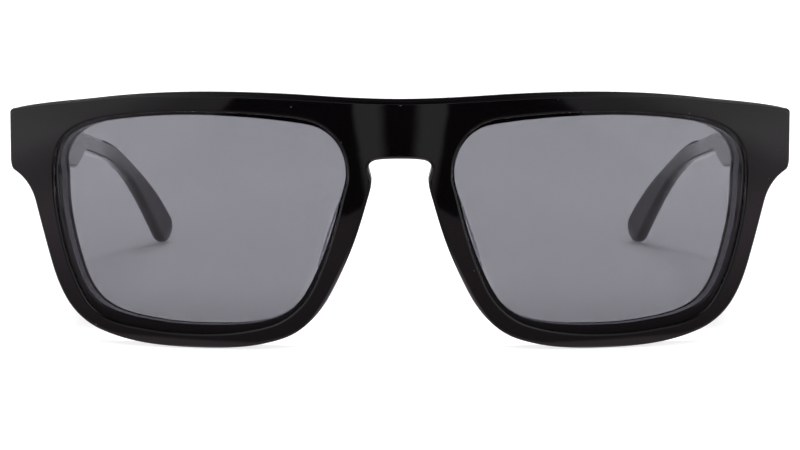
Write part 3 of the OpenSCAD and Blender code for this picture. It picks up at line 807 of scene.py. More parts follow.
def magnet_pockets(points, faces, depth):
    for s, z, diameter in (end_magnets, bridge_magnets):
        for side in (-1, 1):
            place = Matrix.Rotation(side * s / bend_radius, 4, "Z")
            centre = bent(np.array([[side * s, z]]), depth)[0]
            disc(points, faces, centre, place, diameter / 2 + play, 2 * magnet_thickness)


def at_hinge(degrees):
    """From the hinge's own place, with the pin along z, to the place of the right hinge."""
    return Matrix.Translation((axis_x, axis_y, 0)) @ Matrix.Rotation(math.radians(degrees), 4, "Z")


print("Cutters ready, each with", play, "mm of play")

# %% Mill the pockets
clip_points, clip_faces = [], []
magnet_pockets(clip_points, clip_faces, clip_sheet - magnet_thickness)
cut_away(sun_clip_front, piece_from("clip pockets", clip_points, clip_faces, clip_acetate))
front_points, front_faces = [], []
magnet_pockets(front_points, front_faces, front_face - magnet_thickness)
for side in (1, -1):
    place = Matrix.Scale(side, 4, (1, 0, 0)) @ at_hinge(front_angle)
    block(front_points, front_faces,
          (front_leaf_start - play, -hinge_offset - leaf_thickness, leaf_foot - play),
          (front_leaf_end + play, -hinge_offset + 1, leaf_top + play), place)
cut_away(eyeglass_front, piece_from("front pockets", front_points, front_faces, front_acetate))
for front in (sun_clip_front, eyeglass_front):
    soften(front)
hand_over(sun_clip_front, "sun_clip", "acetate", "clip_frame")
hand_over(eyeglass_front, "eyeglass_front", "acetate", "optical_front")

# %% [markdown]
# ## Lenses
#
# A lens blank is cut to the opening plus most of the groove, bent like the sheet, and its edge is ground
# to a bevel so that it springs into the groove. The sun lens is thin, so its bevel is small. The clear lens
# is ground further, until the bevel starts at the wall of the opening. Each is drawn as rings from the
# middle outwards, because a flat mesh would not follow the bend.

# %% The rings of a lens blank
ring_shares = np.linspace(0, 1, 13)[1:]


def lens_blank(name, opening, near, thickness, bevel, slants, finish_of_faces, finish_of_edge):
    """slants says how far the wall of the opening is drawn in at the lens's two faces."""
    reach, far = groove_depth - play, near + thickness
    rim, count = grown(opening, reach), len(opening)
    front_ring, back_ring = [grown(narrowed(opening, s), reach - bevel) for s in slants]
    layers = [bent(ray_centre + (front_ring - ray_centre) * f, near) for f in ring_shares]
    layers += [bent(rim, near + bevel), bent(rim, far - bevel)]
    layers += [bent(ray_centre + (back_ring - ray_centre) * f, far) for f in ring_shares[::-1]]
    hub = np.array([ray_centre])
    points = [*np.vstack([bent(hub, near), *layers, bent(hub, far)])]
    faces = [[0, 1 + i, 1 + (i + 1) % count] for i in range(count)]
    for k in range(len(layers) - 1):
        a, b = 1 + k * count, 1 + (k + 1) * count
        faces += [[a + i, b + i, b + (i + 1) % count, a + (i + 1) % count] for i in range(count)]
    a, end = 1 + (len(layers) - 1) * count, len(points) - 1
    faces += [[end, a + (i + 1) % count, a + i] for i in range(count)]
    blank = piece_from(name, points, faces, finish_of_faces)
    blank.data.materials.append(finish_of_edge)
    edge_from = count * len(ring_shares)
    for face in blank.data.polygons[edge_from:edge_from + 3 * count]:
        face.material_index = 1
    soften(blank, 30)
    return blank


print("Rings on each face of a lens:", len(ring_shares))

# %% Cut the four lenses
sun_bevel, eye_bevel = 0.12, 0.7
slants_at_eye_lens = (0.21, 0.53)  # the narrowing of the opening, as it is at the two faces of the lens
sun_right = lens_blank("sun_lens_right", clip_opening[::2], sun_near, sun_lens, sun_bevel, (0, 0),
                       sun_grey, sun_grey)
sun_left = left_of(sun_right, "sun_lens_left")
eye_right = lens_blank("clear_lens_right", front_opening[::2], eye_near, eye_lens, eye_bevel,
                       slants_at_eye_lens, clear_plastic, ground_edge)
eye_left = left_of(eye_right, "clear_lens_left")
hand_over(sun_right, "sun_clip", "tinted_lens", "clip_lens_right")
hand_over(sun_left, "sun_clip", "tinted_lens", "clip_lens_left")
hand_over(eye_right, "eyeglass_front", "clear_lens", "optical_lens_right")
hand_over(eye_left, "eyeglass_front", "clear_lens", "optical_lens_left")

# %% [markdown]
# ## Nose pads
#
# The pads are cemented to the back of the front and then filed and polished until they flow into it. Each is
# a fin that leans outwards as it goes back. It could be sculpted from a ball, but its place beside the nose
# has to follow the front's own edge. So every level of the fin is a smooth loop that starts at that edge: up
# the nose side, round the free edge, and down into a hollow fillet that dies away on the back of the front.
# The ends sink into the front, so no cut edge is left.

# %% One level of a nose pad
pad_foot, pad_height = 14.0, 16.0
pad_reach, least_reach = 7.2, 1.2
pad_width, pad_tip, pad_lean = 3.5, 2.2, 1.8
sunk, tip_steps = 0.2, 15
end_from, end_share = 0.84, 0.16
nasal_edge = sorted((z, s) for s, z in front_edge if s < 16 and z < bridge_foot - 1.5)


def back_y(x):
    """Where the back of the optical front is."""
    return front_centre + bend_radius - math.sqrt((bend_radius - front_back) ** 2 - x * x)


def smooth_run(start, start_way, end, end_way, count):
    """Points of a smooth curve between two places that leaves and arrives in given directions."""
    p, q = Vector(start), Vector(start) + Vector(start_way)
    r, t = Vector(end) - Vector(end_way), Vector(end)
    return [p * (1 - f) ** 3 + q * 3 * f * (1 - f) ** 2 + r * 3 * f * f * (1 - f) + t * f ** 3
            for f in np.linspace(0, 1, count)]


def pad_loop(f):
    """The loop at a share of the pad's height, as points (x, y), and its height."""
    z = pad_foot + pad_height * f
    from_middle = abs(2 * f - 1)
    swell = math.sqrt(max(0.0, 1 - from_middle ** 2))
    end = math.sqrt(max(0.0, 1 - (max(0.0, from_middle - end_from) / end_share) ** 2))
    root = float(np.interp(z, *zip(*nasal_edge))) + edge_round + 0.2
    width = pad_width * (0.65 + 0.35 * swell)
    reach = (least_reach + (pad_reach - least_reach) * swell) * end
    tip = pad_tip * (0.5 + 0.5 * swell) * (0.35 + 0.65 * end)
    middle = root + pad_lean * reach / pad_reach + width / 2 + 0.2
    back = back_y(middle) + reach - tip / 2
    inner = smooth_run((root, back_y(root) - sunk), (0, reach * 0.45),
                       (middle - tip / 2, back), (0, reach * 0.3), 12)
    cap = [Vector((middle + tip / 2 * math.cos(a), back + tip / 2 * math.sin(a)))
           for a in np.linspace(math.pi, 0, tip_steps)[1:-1]]
    fillet = root + width + 0.9 * end
    outer = smooth_run((middle + tip / 2, back), (0, -reach * 0.5),
                       (fillet, back_y(fillet) + 0.01), (0.7 * end + 0.05, -0.05), 14)
    return [*inner, *cap, *outer, Vector((fillet + 0.15, back_y(fillet) - sunk))], z


print("Points on the front's edge that the pad follows:", len(nasal_edge))

# %% File the nose pads
level_count = 45
levels = [0.5 - 0.5 * math.cos(math.pi * k / (level_count - 1)) for k in range(level_count)]
pad_points, pad_faces = [], []
for f in levels:
    loop, z = pad_loop(f)
    pad_points += [(p.x, p.y, z) for p in loop]
size = len(loop)
for k in range(level_count - 1):
    for i in range(size):
        j = (i + 1) % size
        pad_faces.append([k * size + i, (k + 1) * size + i, (k + 1) * size + j, k * size + j])
pad_faces.append(list(range(size)))
pad_faces.append([(level_count - 1) * size + i for i in reversed(range(size))])
pad_right = piece_from("nose_pad_right_filed", pad_points, pad_faces, pad_plastic)
soften(pad_right, 40)
pad_left = left_of(pad_right, "nose_pad_left_filed")
hand_over(pad_right, "eyeglass_front", "acetate", "nose_pad_right")
hand_over(pad_left, "eyeglass_front", "acetate", "nose_pad_left")

# %% [markdown]
# ## A recipe in Geometry Nodes
#
# The temples, the hinge knuckles, the rivets and the magnets each follow a rule. A loop in Python could
# make them too, but a Geometry Nodes tree with named sizes can be opened in Blender and tried with other
# sizes, so each is such a tree. A recipe object builds the tree, hangs it on a small carrier object, sets
# the sizes by the sockets' identifiers, and turns the result into a plain mesh.

# %% A tree with named inputs that hands back a plain mesh
KINDS = {float: "NodeSocketFloat", int: "NodeSocketInt", tuple: "NodeSocketVector"}


class Recipe(Tree):
    """A Geometry Nodes tree whose sizes are named inputs."""

    def __init__(self, name, sizes):
        group = bpy.data.node_groups.new(name, "GeometryNodeTree")
        super().__init__(group)
        group.interface.new_socket("Geometry", in_out="OUTPUT", socket_type="NodeSocketGeometry")
        group.interface.new_socket("Geometry", in_out="INPUT", socket_type="NodeSocketGeometry")
        self.sizes = sizes
        self.sockets = {}
        for label, value in sizes.items():
            kind = "NodeSocketRotation" if label.startswith("Turn") else KINDS[type(value)]
            self.sockets[label] = self.input(label, kind)
        self.sockets["Material"] = self.input("Material", "NodeSocketMaterial")
        self.entry = group.nodes.new("NodeGroupInput")

    def input(self, label, kind):
        return self.node_tree.interface.new_socket(label, in_out="INPUT", socket_type=kind).identifier

    def size(self, label):
        return Wire(self, self.entry.outputs[label])

    def close(self, geometry):
        """Scales millimetres to metres, realises instances and sets the material."""
        scaled = self.add("GeometryNodeTransform", {}, {"Geometry": geometry, "Scale": (MM, MM, MM)})
        real = self.add("GeometryNodeRealizeInstances", {}, {0: scaled})
        dressed = self.add("GeometryNodeSetMaterial", {},
                           {"Geometry": real, "Material": self.size("Material")})
        self.add("NodeGroupOutput", {}, {"Geometry": dressed})

    def make(self, name, material, carrier=None, **changes):
        """The plain mesh that the tree gives with these changes to its sizes."""
        piece = shown(name, carrier or bpy.data.meshes.new(name))
        rule = piece.modifiers.new("rule", "NODES")
        rule.node_group = self.node_tree
        for label, value in {**self.sizes, **changes}.items():
            rule[self.sockets[label]] = value
        rule[self.sockets["Material"]] = material
        graph = bpy.context.evaluated_depsgraph_get()
        mesh = bpy.data.meshes.new_from_object(piece.evaluated_get(graph))
        bpy.data.objects.remove(piece)
        mesh.name = name
        return shown(name, mesh)


print("A recipe can take sizes of the kinds", [kind.__name__ for kind in KINDS])

# %% [markdown]
# ## Temples
#
# A temple is a long bar whose section changes by rule: deep and thick at the hinge, stepped underneath,
# slim along the middle, then bent down and inwards over the ear to a flat paddle. Sweeping one profile along
# a curve could not give the step, where the section changes height. So the path is a curve, and the tree
# lays a grid of stations along that curve and points around it, and moves each grid point to its place on a
# rounded section. The front end is cut at a slant, parallel to the back of the front, and its corner is
# eased. At the other end the section closes to nothing.

# %% The path of the temple's middle line, from the hinge to the tip
temple_length, straight, lean_start = 138.5, 89.0, 80.0
slope, tip_drop, ear_radius, tip_lean = 9.5, 37.0, 68.0, 26.0
spine_z, temple_thickness = 40.2, 3.9
path_step, spare_steps = 0.5, 3
steps_to_tip = int(temple_length / path_step)


def droop(length):
    """How steeply the temple runs down, in degrees, at a length from the hinge."""
    bend_share = (length - straight) / (ear_radius * math.radians(tip_drop))
    return slope + tip_drop * min(1, max(0, bend_share))


def lean(length):
    """How far it turns inwards there, in degrees."""
    return (tip_lean - toe_in) * max(0, (length - lean_start) / (temple_length - lean_start))


def heading(length):
    d, t = math.radians(droop(length)), math.radians(lean(length))
    return Vector((-math.sin(t) * math.cos(d), math.cos(t) * math.cos(d), -math.sin(d)))


path = [Vector((hinge_offset + temple_thickness / 2, 0, spine_z))]
for i in range(1, steps_to_tip + spare_steps + 1):
    path.append(path[-1] + heading((i - 0.5) * path_step) * path_step)
curve = bpy.data.curves.new("temple path", "CURVE")
curve.dimensions = "3D"
run = curve.splines.new("POLY")
run.points.add(len(path) - 1)
for point, spot in zip(run.points, path):
    point.co = (*spot, 1)
print("Temple path ends at", [round(c, 1) for c in path[steps_to_tip]], "mm from the hinge")

# %% [markdown]
# The sizes of the section are eased from one to the next along the temple. Up and down are kept apart,
# because the top line runs on straight while the underside steps up. The last few millimetres follow a
# quarter circle, which makes the paddle's round end.

# %% The rule of the temple's section
temple_rule = Recipe("temple rule", {
    "Stations": 230, "Points around": 72, "Length": temple_length, "Straight length": straight,
    "Thickness at hinge": temple_thickness, "Thickness at bend": 2.7,
    "Height at hinge": 9.7, "Height at step": 8.3, "Height halfway": 4.0, "Height of paddle": 6.8,
    "Step at": 42.0, "Step length": 20.0, "Middle line to top": 1.95, "Edge round": 1.15,
    "Slant": front_angle - toe_in, "Gap at front": 0.35, "Hinge offset": hinge_offset, "Corner ease": 0.22,
})
t = temple_rule
grid = t.add("GeometryNodeMeshGrid", {}, {"Size X": 1.0, "Size Y": 1.0, "Vertices X": t.size("Stations"),
                                          "Vertices Y": t.size("Points around")})
across_grid = t.parts(t.add("GeometryNodeInputPosition"))
station = ((across_grid[0] + 0.5) * (t.size("Stations") - 1)).rounded()
along = ((station - 3) / (t.size("Stations") - 4)).kept()
paddle = t.size("Height of paddle") / 2
body_share, taper_start, least_half = 0.93, 14.0, 0.01
into_tip = ((along - body_share) / (1 - body_share)).kept() * (math.pi / 2)
length = (t.size("Length") - paddle) * (along / body_share).kept() + paddle * into_tip.sine()
tip_share = into_tip.cosine()
half = (t.size("Thickness at hinge")
        + (t.size("Thickness at bend") - t.size("Thickness at hinge"))
        * length.eased(taper_start, t.size("Straight length"))) / 2 * (0.4 + 0.6 * tip_share)
past_ear, before_tip = 18, 4
to_paddle = length.eased(t.size("Straight length") + past_ear, t.size("Length") - before_tip)
step = length.eased(t.size("Step at"), t.size("Step at") + t.size("Step length"))
deep = (length / t.size("Step at")).kept().between(t.size("Height at hinge"), t.size("Height at step"))
body = step.between(deep, t.size("Height halfway")) - t.size("Middle line to top")
up = to_paddle.between(t.size("Middle line to top"), paddle) * tip_share
down = to_paddle.between(body, paddle) * tip_share
print("Sizes of the temple rule:", len(temple_rule.sizes))

# %% [markdown]
# The section itself is a box with round corners. Going round it by angle, the cosine and sine are stretched
# and clipped, so a few points spread over each flat side and the rest turn the corners. That leaves each
# side very slightly crowned, as hand polishing does.

# %% Place every grid point, slant the front end and close both ends
angle = (across_grid[1] + 0.5) * (2 * math.pi)
corner = t.size("Edge round").least(half * 0.9).least(up * 0.9).least(down * 0.9)
squareness = 6
side_way = (angle.cosine() * squareness).kept(-1, 1)
tall_way = (angle.sine() * squareness).kept(-1, 1)
reach = (angle.sine() > 0).between(down, up)
first = station < 4
shrink = (station < 2) * t.size("Corner ease")
x = ((half - corner) * side_way + corner * angle.cosine())
z = ((reach - corner) * tall_way + corner * angle.sine())
x = x * (1 - shrink / half.most(least_half)) * (station > 0)
z = z * (1 - shrink / reach.most(least_half)) * (station > 0)
spine = t.add("GeometryNodeSampleCurve", {"mode": "LENGTH"},
              {"Curves": t.size("Geometry"), "Length": length}, "Position")
forward = spine.also("Tangent")
across = t.vector_sum("NORMALIZE", t.vector_sum("CROSS_PRODUCT", forward, (0, 0, 1)))
upward = t.vector_sum("CROSS_PRODUCT", across, forward)
spot = t.vector_sum("ADD", spine, t.vector_sum("ADD", t.scaled(across, x), t.scaled(upward, z)))
spot_x, spot_y, spot_z = t.parts(spot)
slant = t.size("Slant") * (math.pi / 180)
butt = (spot_x * slant.sine() + t.size("Gap at front") - t.size("Hinge offset")) / slant.cosine()
forward_y = t.parts(forward)[1]
behind_corner = 0.5
slide = first * ((butt - spot_y) / forward_y + (station > 1) * t.size("Corner ease")
                 + (station > 2) * behind_corner)
placed = t.vector_sum("ADD", spot, t.scaled(forward, slide))
moved = t.add("GeometryNodeSetPosition", {}, {"Geometry": grid, "Position": placed})
closed = t.add("GeometryNodeMergeByDistance", {}, {"Geometry": moved, "Distance": 0.0005})
t.close(closed)
temple_right = temple_rule.make("temple_right_polished", temple_acetate, carrier=curve)
print("Temple:", len(temple_right.data.vertices), "points")

# %% Set the temple in place, cut its leaf pocket and mirror it
tidy(temple_right.data)
temple_right.data.transform(Matrix.Scale(MM, 4) @ at_hinge(toe_in) @ Matrix.Scale(1 / MM, 4))
tidy(temple_right.data)
temple_leaf = at_hinge(toe_in) @ Matrix.Translation((hinge_offset, 0, hinge_z)) @ Matrix.Rotation(
    math.radians(-slope), 4, "X")
leaf_points, leaf_faces = [], []
block(leaf_points, leaf_faces, (-1, temple_leaf_start - play, -leaf_height / 2 - play),
      (leaf_thickness, temple_leaf_end + play, leaf_height / 2 + play), temple_leaf)
cut_away(temple_right, piece_from("leaf pocket", leaf_points, leaf_faces, temple_acetate))
soften(temple_right)
temple_left = left_of(temple_right, "temple_left_polished")
hand_over(temple_right, "right_temple", "acetate", "temple_right")
hand_over(temple_left, "left_temple", "acetate", "temple_left")

# %% [markdown]
# ## Hinges
#
# A riveted five-barrel hinge: three knuckles belong to the front, two to the temple, and one screw runs
# through them. Each knuckle could be copied by hand, but a change of pitch would then mean moving them all.
# So a recipe sweeps one eased profile round the pin and sets it on a line of points. The leaf and the necks
# between it and the knuckles are milled blocks with a fine bevel. Two rivet heads stand just proud of each
# leaf, and they too are set on points.

# %% Knuckles on a line, and rivet heads on a line
barrel_foot, pitch = hinge_z - 3.175, 1.3
knuckle_height, fine_bevel, bevel_steps = 1.15, 0.12, 3
no_turn = (0.0, 0.0, 0.0)
knuckle_rule = Recipe("knuckles on a pin", {
    "Count": 3, "Pitch": 2.6, "First": 0.0, "Outside radius": 1.4, "Bore radius": 0.65,
    "Height": knuckle_height, "Bevel": fine_bevel, "Turn in place": no_turn, "Place": no_turn,
})
k = knuckle_rule
wall = k.size("Outside radius") - k.size("Bore radius")
ring = k.add("GeometryNodeCurvePrimitiveCircle", {"mode": "RADIUS"}, {
    "Resolution": 72, "Radius": (k.size("Outside radius") + k.size("Bore radius")) / 2})
profile = k.add("GeometryNodeCurvePrimitiveQuadrilateral", {"mode": "RECTANGLE"}, {
    "Width": wall, "Height": k.size("Height")})
eased_profile = k.add("GeometryNodeFilletCurve", {"mode": "POLY"}, {
    "Curve": profile, "Radius": k.size("Bevel"), "Count": bevel_steps})
knuckle = k.add("GeometryNodeCurveToMesh", {}, {"Curve": ring, "Profile Curve": eased_profile})
spots = k.add("GeometryNodeMeshLine", {"mode": "OFFSET"}, {
    "Count": k.size("Count"),
    "Start Location": k.vector(0.0, 0.0, k.size("First") + k.size("Height") / 2),
    "Offset": k.vector(0.0, 0.0, k.size("Pitch"))})
stack = k.add("GeometryNodeInstanceOnPoints", {}, {"Points": spots, "Instance": knuckle})
k.close(k.add("GeometryNodeTransform", {}, {"Geometry": stack, "Rotation": k.size("Turn in place"),
                                            "Translation": k.size("Place")}))

rivet_rule = Recipe("rivet heads on a leaf", {
    "Count": 2, "Start": no_turn, "Step": (0.0, 0.0, 1.0), "Radius": 0.62, "Stand": 0.17,
    "Turn of head": no_turn, "Turn in place": no_turn, "Place": no_turn,
})
r = rivet_rule
dome = r.add("GeometryNodeMeshUVSphere", {}, {"Segments": 40, "Rings": 20, "Radius": r.size("Radius")})
flat_dome = r.add("GeometryNodeTransform", {}, {
    "Geometry": dome, "Scale": r.vector(1.0, 1.0, r.size("Stand") / r.size("Radius"))})
heads = r.add("GeometryNodeInstanceOnPoints", {}, {
    "Points": r.add("GeometryNodeMeshLine", {"mode": "OFFSET"}, {
        "Count": r.size("Count"), "Start Location": r.size("Start"), "Offset": r.size("Step")}),
    "Instance": flat_dome, "Rotation": r.size("Turn of head")})
r.close(r.add("GeometryNodeTransform", {}, {"Geometry": heads, "Rotation": r.size("Turn in place"),
                                            "Translation": r.size("Place")}))
print("Hinge recipes:", knuckle_rule.node_tree.name, "|", rivet_rule.node_tree.name)

# %% Milled blocks, and several parts as one piece
def milled(boxes, place):
    """Nickel silver boxes with a fine bevel, turned and moved by a matrix."""
    points, faces = [], []
    for low, high in boxes:
        block(points, faces, low, high, place)
    part = piece_from("milled", points, faces, brushed_nickel)
    bevel = part.modifiers.new("bevel", "BEVEL")
    bevel.width, bevel.segments, bevel.limit_method = fine_bevel * MM, bevel_steps, "ANGLE"
    return settle(part)


def joined(name, parts):
    """Several closed parts as one piece."""
    work = bmesh.new()
    for part in parts:
        work.from_mesh(part.data)
    mesh = bpy.data.meshes.new(name)
    work.to_mesh(mesh)
    work.free()
    mesh.materials.append(parts[0].data.materials[0])
    for part in parts:
        bpy.data.objects.remove(part)
    tidy(mesh)
    piece = shown(name, mesh)
    soften(piece, 30)
    return piece


pin_place = (axis_x, axis_y, 0.0)


def hinge_half(name, leaf, leaf_place, neck, degrees, numbers):
    """A leaf, its necks and its knuckles. numbers says which of the five knuckles it has."""
    (x0, y0), (x1, y1) = neck
    necks = []
    for n in numbers:
        foot = barrel_foot + n * pitch
        necks.append(((x0, y0, foot + 0.01), (x1, y1, foot + knuckle_height - 0.01)))
    return joined(name, [
        milled([leaf], leaf_place),
        milled(necks, at_hinge(degrees)),
        knuckle_rule.make("knuckles", brushed_nickel, **{
            "Count": len(numbers), "Pitch": 2 * pitch, "First": barrel_foot + numbers[0] * pitch,
            "Turn in place": (0.0, 0.0, math.radians(degrees)), "Place": pin_place}),
    ])


print("Knuckles start at height", round(barrel_foot, 3), "mm, every", pitch, "mm")

# %% Make the right hinge's two halves
front_hinge_right = hinge_half(
    "front_hinge_right_milled",
    ((front_leaf_start, -hinge_offset - leaf_thickness, leaf_foot),
     (front_leaf_end, -hinge_offset, leaf_top)),
    at_hinge(front_angle), ((-1.1, -2.3), (1.1, -0.9)), front_angle, (0, 2, 4))
temple_hinge_right = hinge_half(
    "temple_hinge_right_milled",
    ((0, temple_leaf_start, -leaf_height / 2), (leaf_thickness, temple_leaf_end, leaf_height / 2)),
    temple_leaf, ((0.9, -0.1), (2.3, 1.1)), toe_in, (1, 3))
print("Hinge halves:", len(front_hinge_right.data.polygons), len(temple_hinge_right.data.polygons), "faces")

# %% Set the rivets, then hand over both hinges
down_leaf = math.radians(-slope)
front_rivet_place, front_rivet_step = 3.4, 3.2
temple_rivet_place, temple_rivet_step = 2.4, 3.9
front_rivets_right = rivet_rule.make("front_rivets_right", polished_steel, **{
    "Start": (front_rivet_place, -hinge_offset, hinge_z - front_rivet_step / 2),
    "Step": (0.0, 0.0, front_rivet_step),
    "Turn of head": (math.radians(90), 0.0, 0.0),
    "Turn in place": (0.0, 0.0, math.radians(front_angle)), "Place": pin_place})
temple_rivets_right = rivet_rule.make("temple_rivets_right", polished_steel, **{
    "Start": (hinge_offset, temple_rivet_place * math.cos(down_leaf),
              hinge_z + temple_rivet_place * math.sin(down_leaf)),
    "Step": (0.0, temple_rivet_step * math.cos(down_leaf), temple_rivet_step * math.sin(down_leaf)),
    "Turn of head": (0.0, math.radians(90), 0.0),
    "Turn in place": (0.0, 0.0, math.radians(toe_in)), "Place": pin_place})
for rivets in (front_rivets_right, temple_rivets_right):
    soften(rivets, 60)
for right, name, slot_name in (
    (front_hinge_right, "front_hinge", "hinge_metal"),
    (temple_hinge_right, "temple_hinge", "hinge_metal"),
    (front_rivets_right, "front_rivets", "screw_metal"),
    (temple_rivets_right, "temple_rivets", "screw_metal"),
):
    left = left_of(right, right.name.replace("right", "left"))
    stands_for = [name + "_right"] if "hinge" in name else []
    on_front = name.startswith("front")
    hand_over(right, "eyeglass_front" if on_front else "right_temple", slot_name, *stands_for)
    hand_over(left, "eyeglass_front" if on_front else "left_temple", slot_name,
              *[n.replace("right", "left") for n in stands_for])

# %% [markdown]
# ## Hinge screws
#
# A hinge screw is turned on a lathe, so its outline is drawn once and spun round the pin. The Screw modifier
# does the same, but a ring of points needs no modifier to be settled afterwards. The head has an eased rim
# and a shallow crown, and a slot is sawn across it.

# %% Turn the screws and saw their slots
def spun(name, outline, steps, place, material):
    """A closed piece from an outline of (radius, height), turned round its own axis."""
    points, faces = [], []
    for k in range(steps):
        t = 2 * math.pi * k / steps
        points += [tuple(place @ Vector((r * math.cos(t), r * math.sin(t), z))) for r, z in outline]
    size = len(outline)
    for k in range(steps):
        a, b = k * size, (k + 1) % steps * size
        faces += [[a + i, b + i, b + i + 1, a + i + 1] for i in range(size - 1)]
    return piece_from(name, points, faces, material)


pin_radius, head_radius = 0.6, 1.15
slot_width, slot_depth, slot_turn = 0.3, 0.28, 28
top = barrel_foot + 6.35
crown = top + 0.55
screw_line = [(0, barrel_foot), (pin_radius - 0.12, barrel_foot), (pin_radius, barrel_foot + 0.12),
              (pin_radius, top), (1.05, top + 0.01), (1.12, top + 0.06), (head_radius, top + 0.14),
              (head_radius, top + 0.34), (1.12, top + 0.42), (1.04, top + 0.48), (0.75, top + 0.52),
              (0.4, top + 0.545), (0, crown)]
screw_right = spun("hinge_screw_right_turned", screw_line, 72, at_hinge(0), polished_steel)
slot_points, slot_faces = [], []
block(slot_points, slot_faces, (-2, -slot_width / 2, crown - slot_depth), (2, slot_width / 2, top + 1),
      at_hinge(0) @ Matrix.Rotation(math.radians(slot_turn), 4, "Z"))
cut_away(screw_right, piece_from("saw", slot_points, slot_faces, polished_steel))
soften(screw_right, 28)
screw_left = left_of(screw_right, "hinge_screw_left_turned")
hand_over(screw_right, "eyeglass_front", "screw_metal", "hinge_screw_right")
hand_over(screw_left, "eyeglass_front", "screw_metal", "hinge_screw_left")

# %% [markdown]
# ## Magnets
#
# Small plated discs sit flush in the clip's back and in the front's face, in mirrored pairs. They could be
# eight cylinders turned by hand, but each has to lie along the bend of the sheet. So a recipe sets a disc at
# each end of a line and bends the line with the sheet. The disc is a plain cylinder at first, and the rule
# then draws in its end rings to make a small chamfer.

# %% Plated discs in mirrored pairs
disc_rule = Recipe("magnet discs in a bent sheet", {
    "Distance from centre": 4.2, "Height on the front": 41.4, "Depth": 1.4, "Diameter": 2.5,
    "Thickness": magnet_thickness, "Chamfer": 0.1, "Bend radius": bend_radius,
    "Face of the clip": front_centre,
})
d = disc_rule
plain_disc = d.add("GeometryNodeMeshCylinder", {"fill_type": "NGON"}, {
    "Vertices": 64, "Side Segments": 3, "Radius": d.size("Diameter") / 2, "Depth": d.size("Thickness")})
px, py, pz = d.parts(d.add("GeometryNodeInputPosition"))
at_end = abs(pz) > d.size("Thickness") / 3
flat = 1 - at_end * d.size("Chamfer") / (d.size("Diameter") / 2)
level = (pz > 0).between(-1, 1) * (d.size("Thickness") / 2 - (1 - at_end) * d.size("Chamfer"))
chamfered = d.add("GeometryNodeSetPosition", {}, {
    "Geometry": plain_disc, "Position": d.vector(px * flat, py * flat, level)})
pair = d.add("GeometryNodeMeshLine", {"mode": "END_POINTS"}, {
    "Count": 2, "Start Location": d.vector(d.size("Distance from centre") * -1, 0.0, 0.0),
    "Offset": d.vector(d.size("Distance from centre"), 0.0, 0.0)})
bend = d.parts(d.add("GeometryNodeInputPosition"))[0] / d.size("Bend radius")
radius_here = d.size("Bend radius") - d.size("Depth") - d.size("Thickness") / 2
bent_pair = d.add("GeometryNodeSetPosition", {}, {"Geometry": pair, "Position": d.vector(
    radius_here * bend.sine(),
    d.size("Face of the clip") + d.size("Bend radius") - radius_here * bend.cosine(),
    d.size("Height on the front"))})
upright = d.add("FunctionNodeAxisAngleToRotation", {}, {"Axis": (0, 0, 1), "Angle": d.parts(
    d.add("GeometryNodeInputPosition"))[0] / radius_here})
lying = d.add("FunctionNodeRotateRotation", {"rotation_space": "LOCAL"}, {
    0: upright, 1: (math.radians(90), 0.0, 0.0)})
d.close(d.add("GeometryNodeInstanceOnPoints", {}, {
    "Points": bent_pair, "Instance": chamfered, "Rotation": lying}))
print("Magnet recipe:", disc_rule.node_tree.name)

# %% Press in the magnets
for name, body, depth, (s, z, diameter) in (
    ("front_end_magnets", "eyeglass_front", front_face, end_magnets),
    ("front_bridge_magnets", "eyeglass_front", front_face, bridge_magnets),
    ("clip_end_magnets", "sun_clip", clip_sheet - magnet_thickness, end_magnets),
    ("clip_bridge_magnets", "sun_clip", clip_sheet - magnet_thickness, bridge_magnets),
):
    discs = disc_rule.make(name + "_plated", nickel_plate, **{
        "Distance from centre": s, "Height on the front": z, "Depth": depth, "Diameter": diameter})
    tidy(discs.data)
    soften(discs, 30)
    hand_over(discs, body, "magnet_plating", name)

# %% [markdown]
# ## Core wires
#
# The flat wires are sealed inside the temples, where nobody sees them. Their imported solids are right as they
# are, so they only get their rolled metal.

# %% Finish the core wires
for name in ("core_wire_right", "core_wire_left"):
    wire = frame["nodes"][name]
    wire.data.materials.clear()
    wire.data.materials.append(rolled_wire)
    print(name, "keeps its packed solid")

# %% [markdown]
# ## The table
#
# The glasses stand on a white sweep. A black object shows its surroundings, so what stands outside the
# picture matters as much as the lamps. The table's tone is worked out from its own coordinates: white, with
# a painted shadow behind each lens, a lower glow that stands in for the shadow a tinted lens throws. For
# reflections only the table glows as well, more at its far sides, a painted reflection that makes the inner
# walls of the rims show. A texture could be painted for this, but a sum of eased steps has no edges and no
# pixels.

# %% A flat sheet of the stage, and its white finish
def stage_sheet(name, width, depth, centre_y, height, material):
    """A flat sheet of the stage, with its place in its mesh."""
    mesh = bpy.data.meshes.new(name)
    left, right = -width / 2, width / 2
    near, far = centre_y - depth / 2, centre_y + depth / 2
    mesh.from_pydata([(left, near, height), (right, near, height), (right, far, height), (left, far, height)],
                     [], [(0, 1, 2, 3)])
    mesh.materials.append(material)
    sheet = shown(name, mesh)
    sheet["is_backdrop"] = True
    return sheet


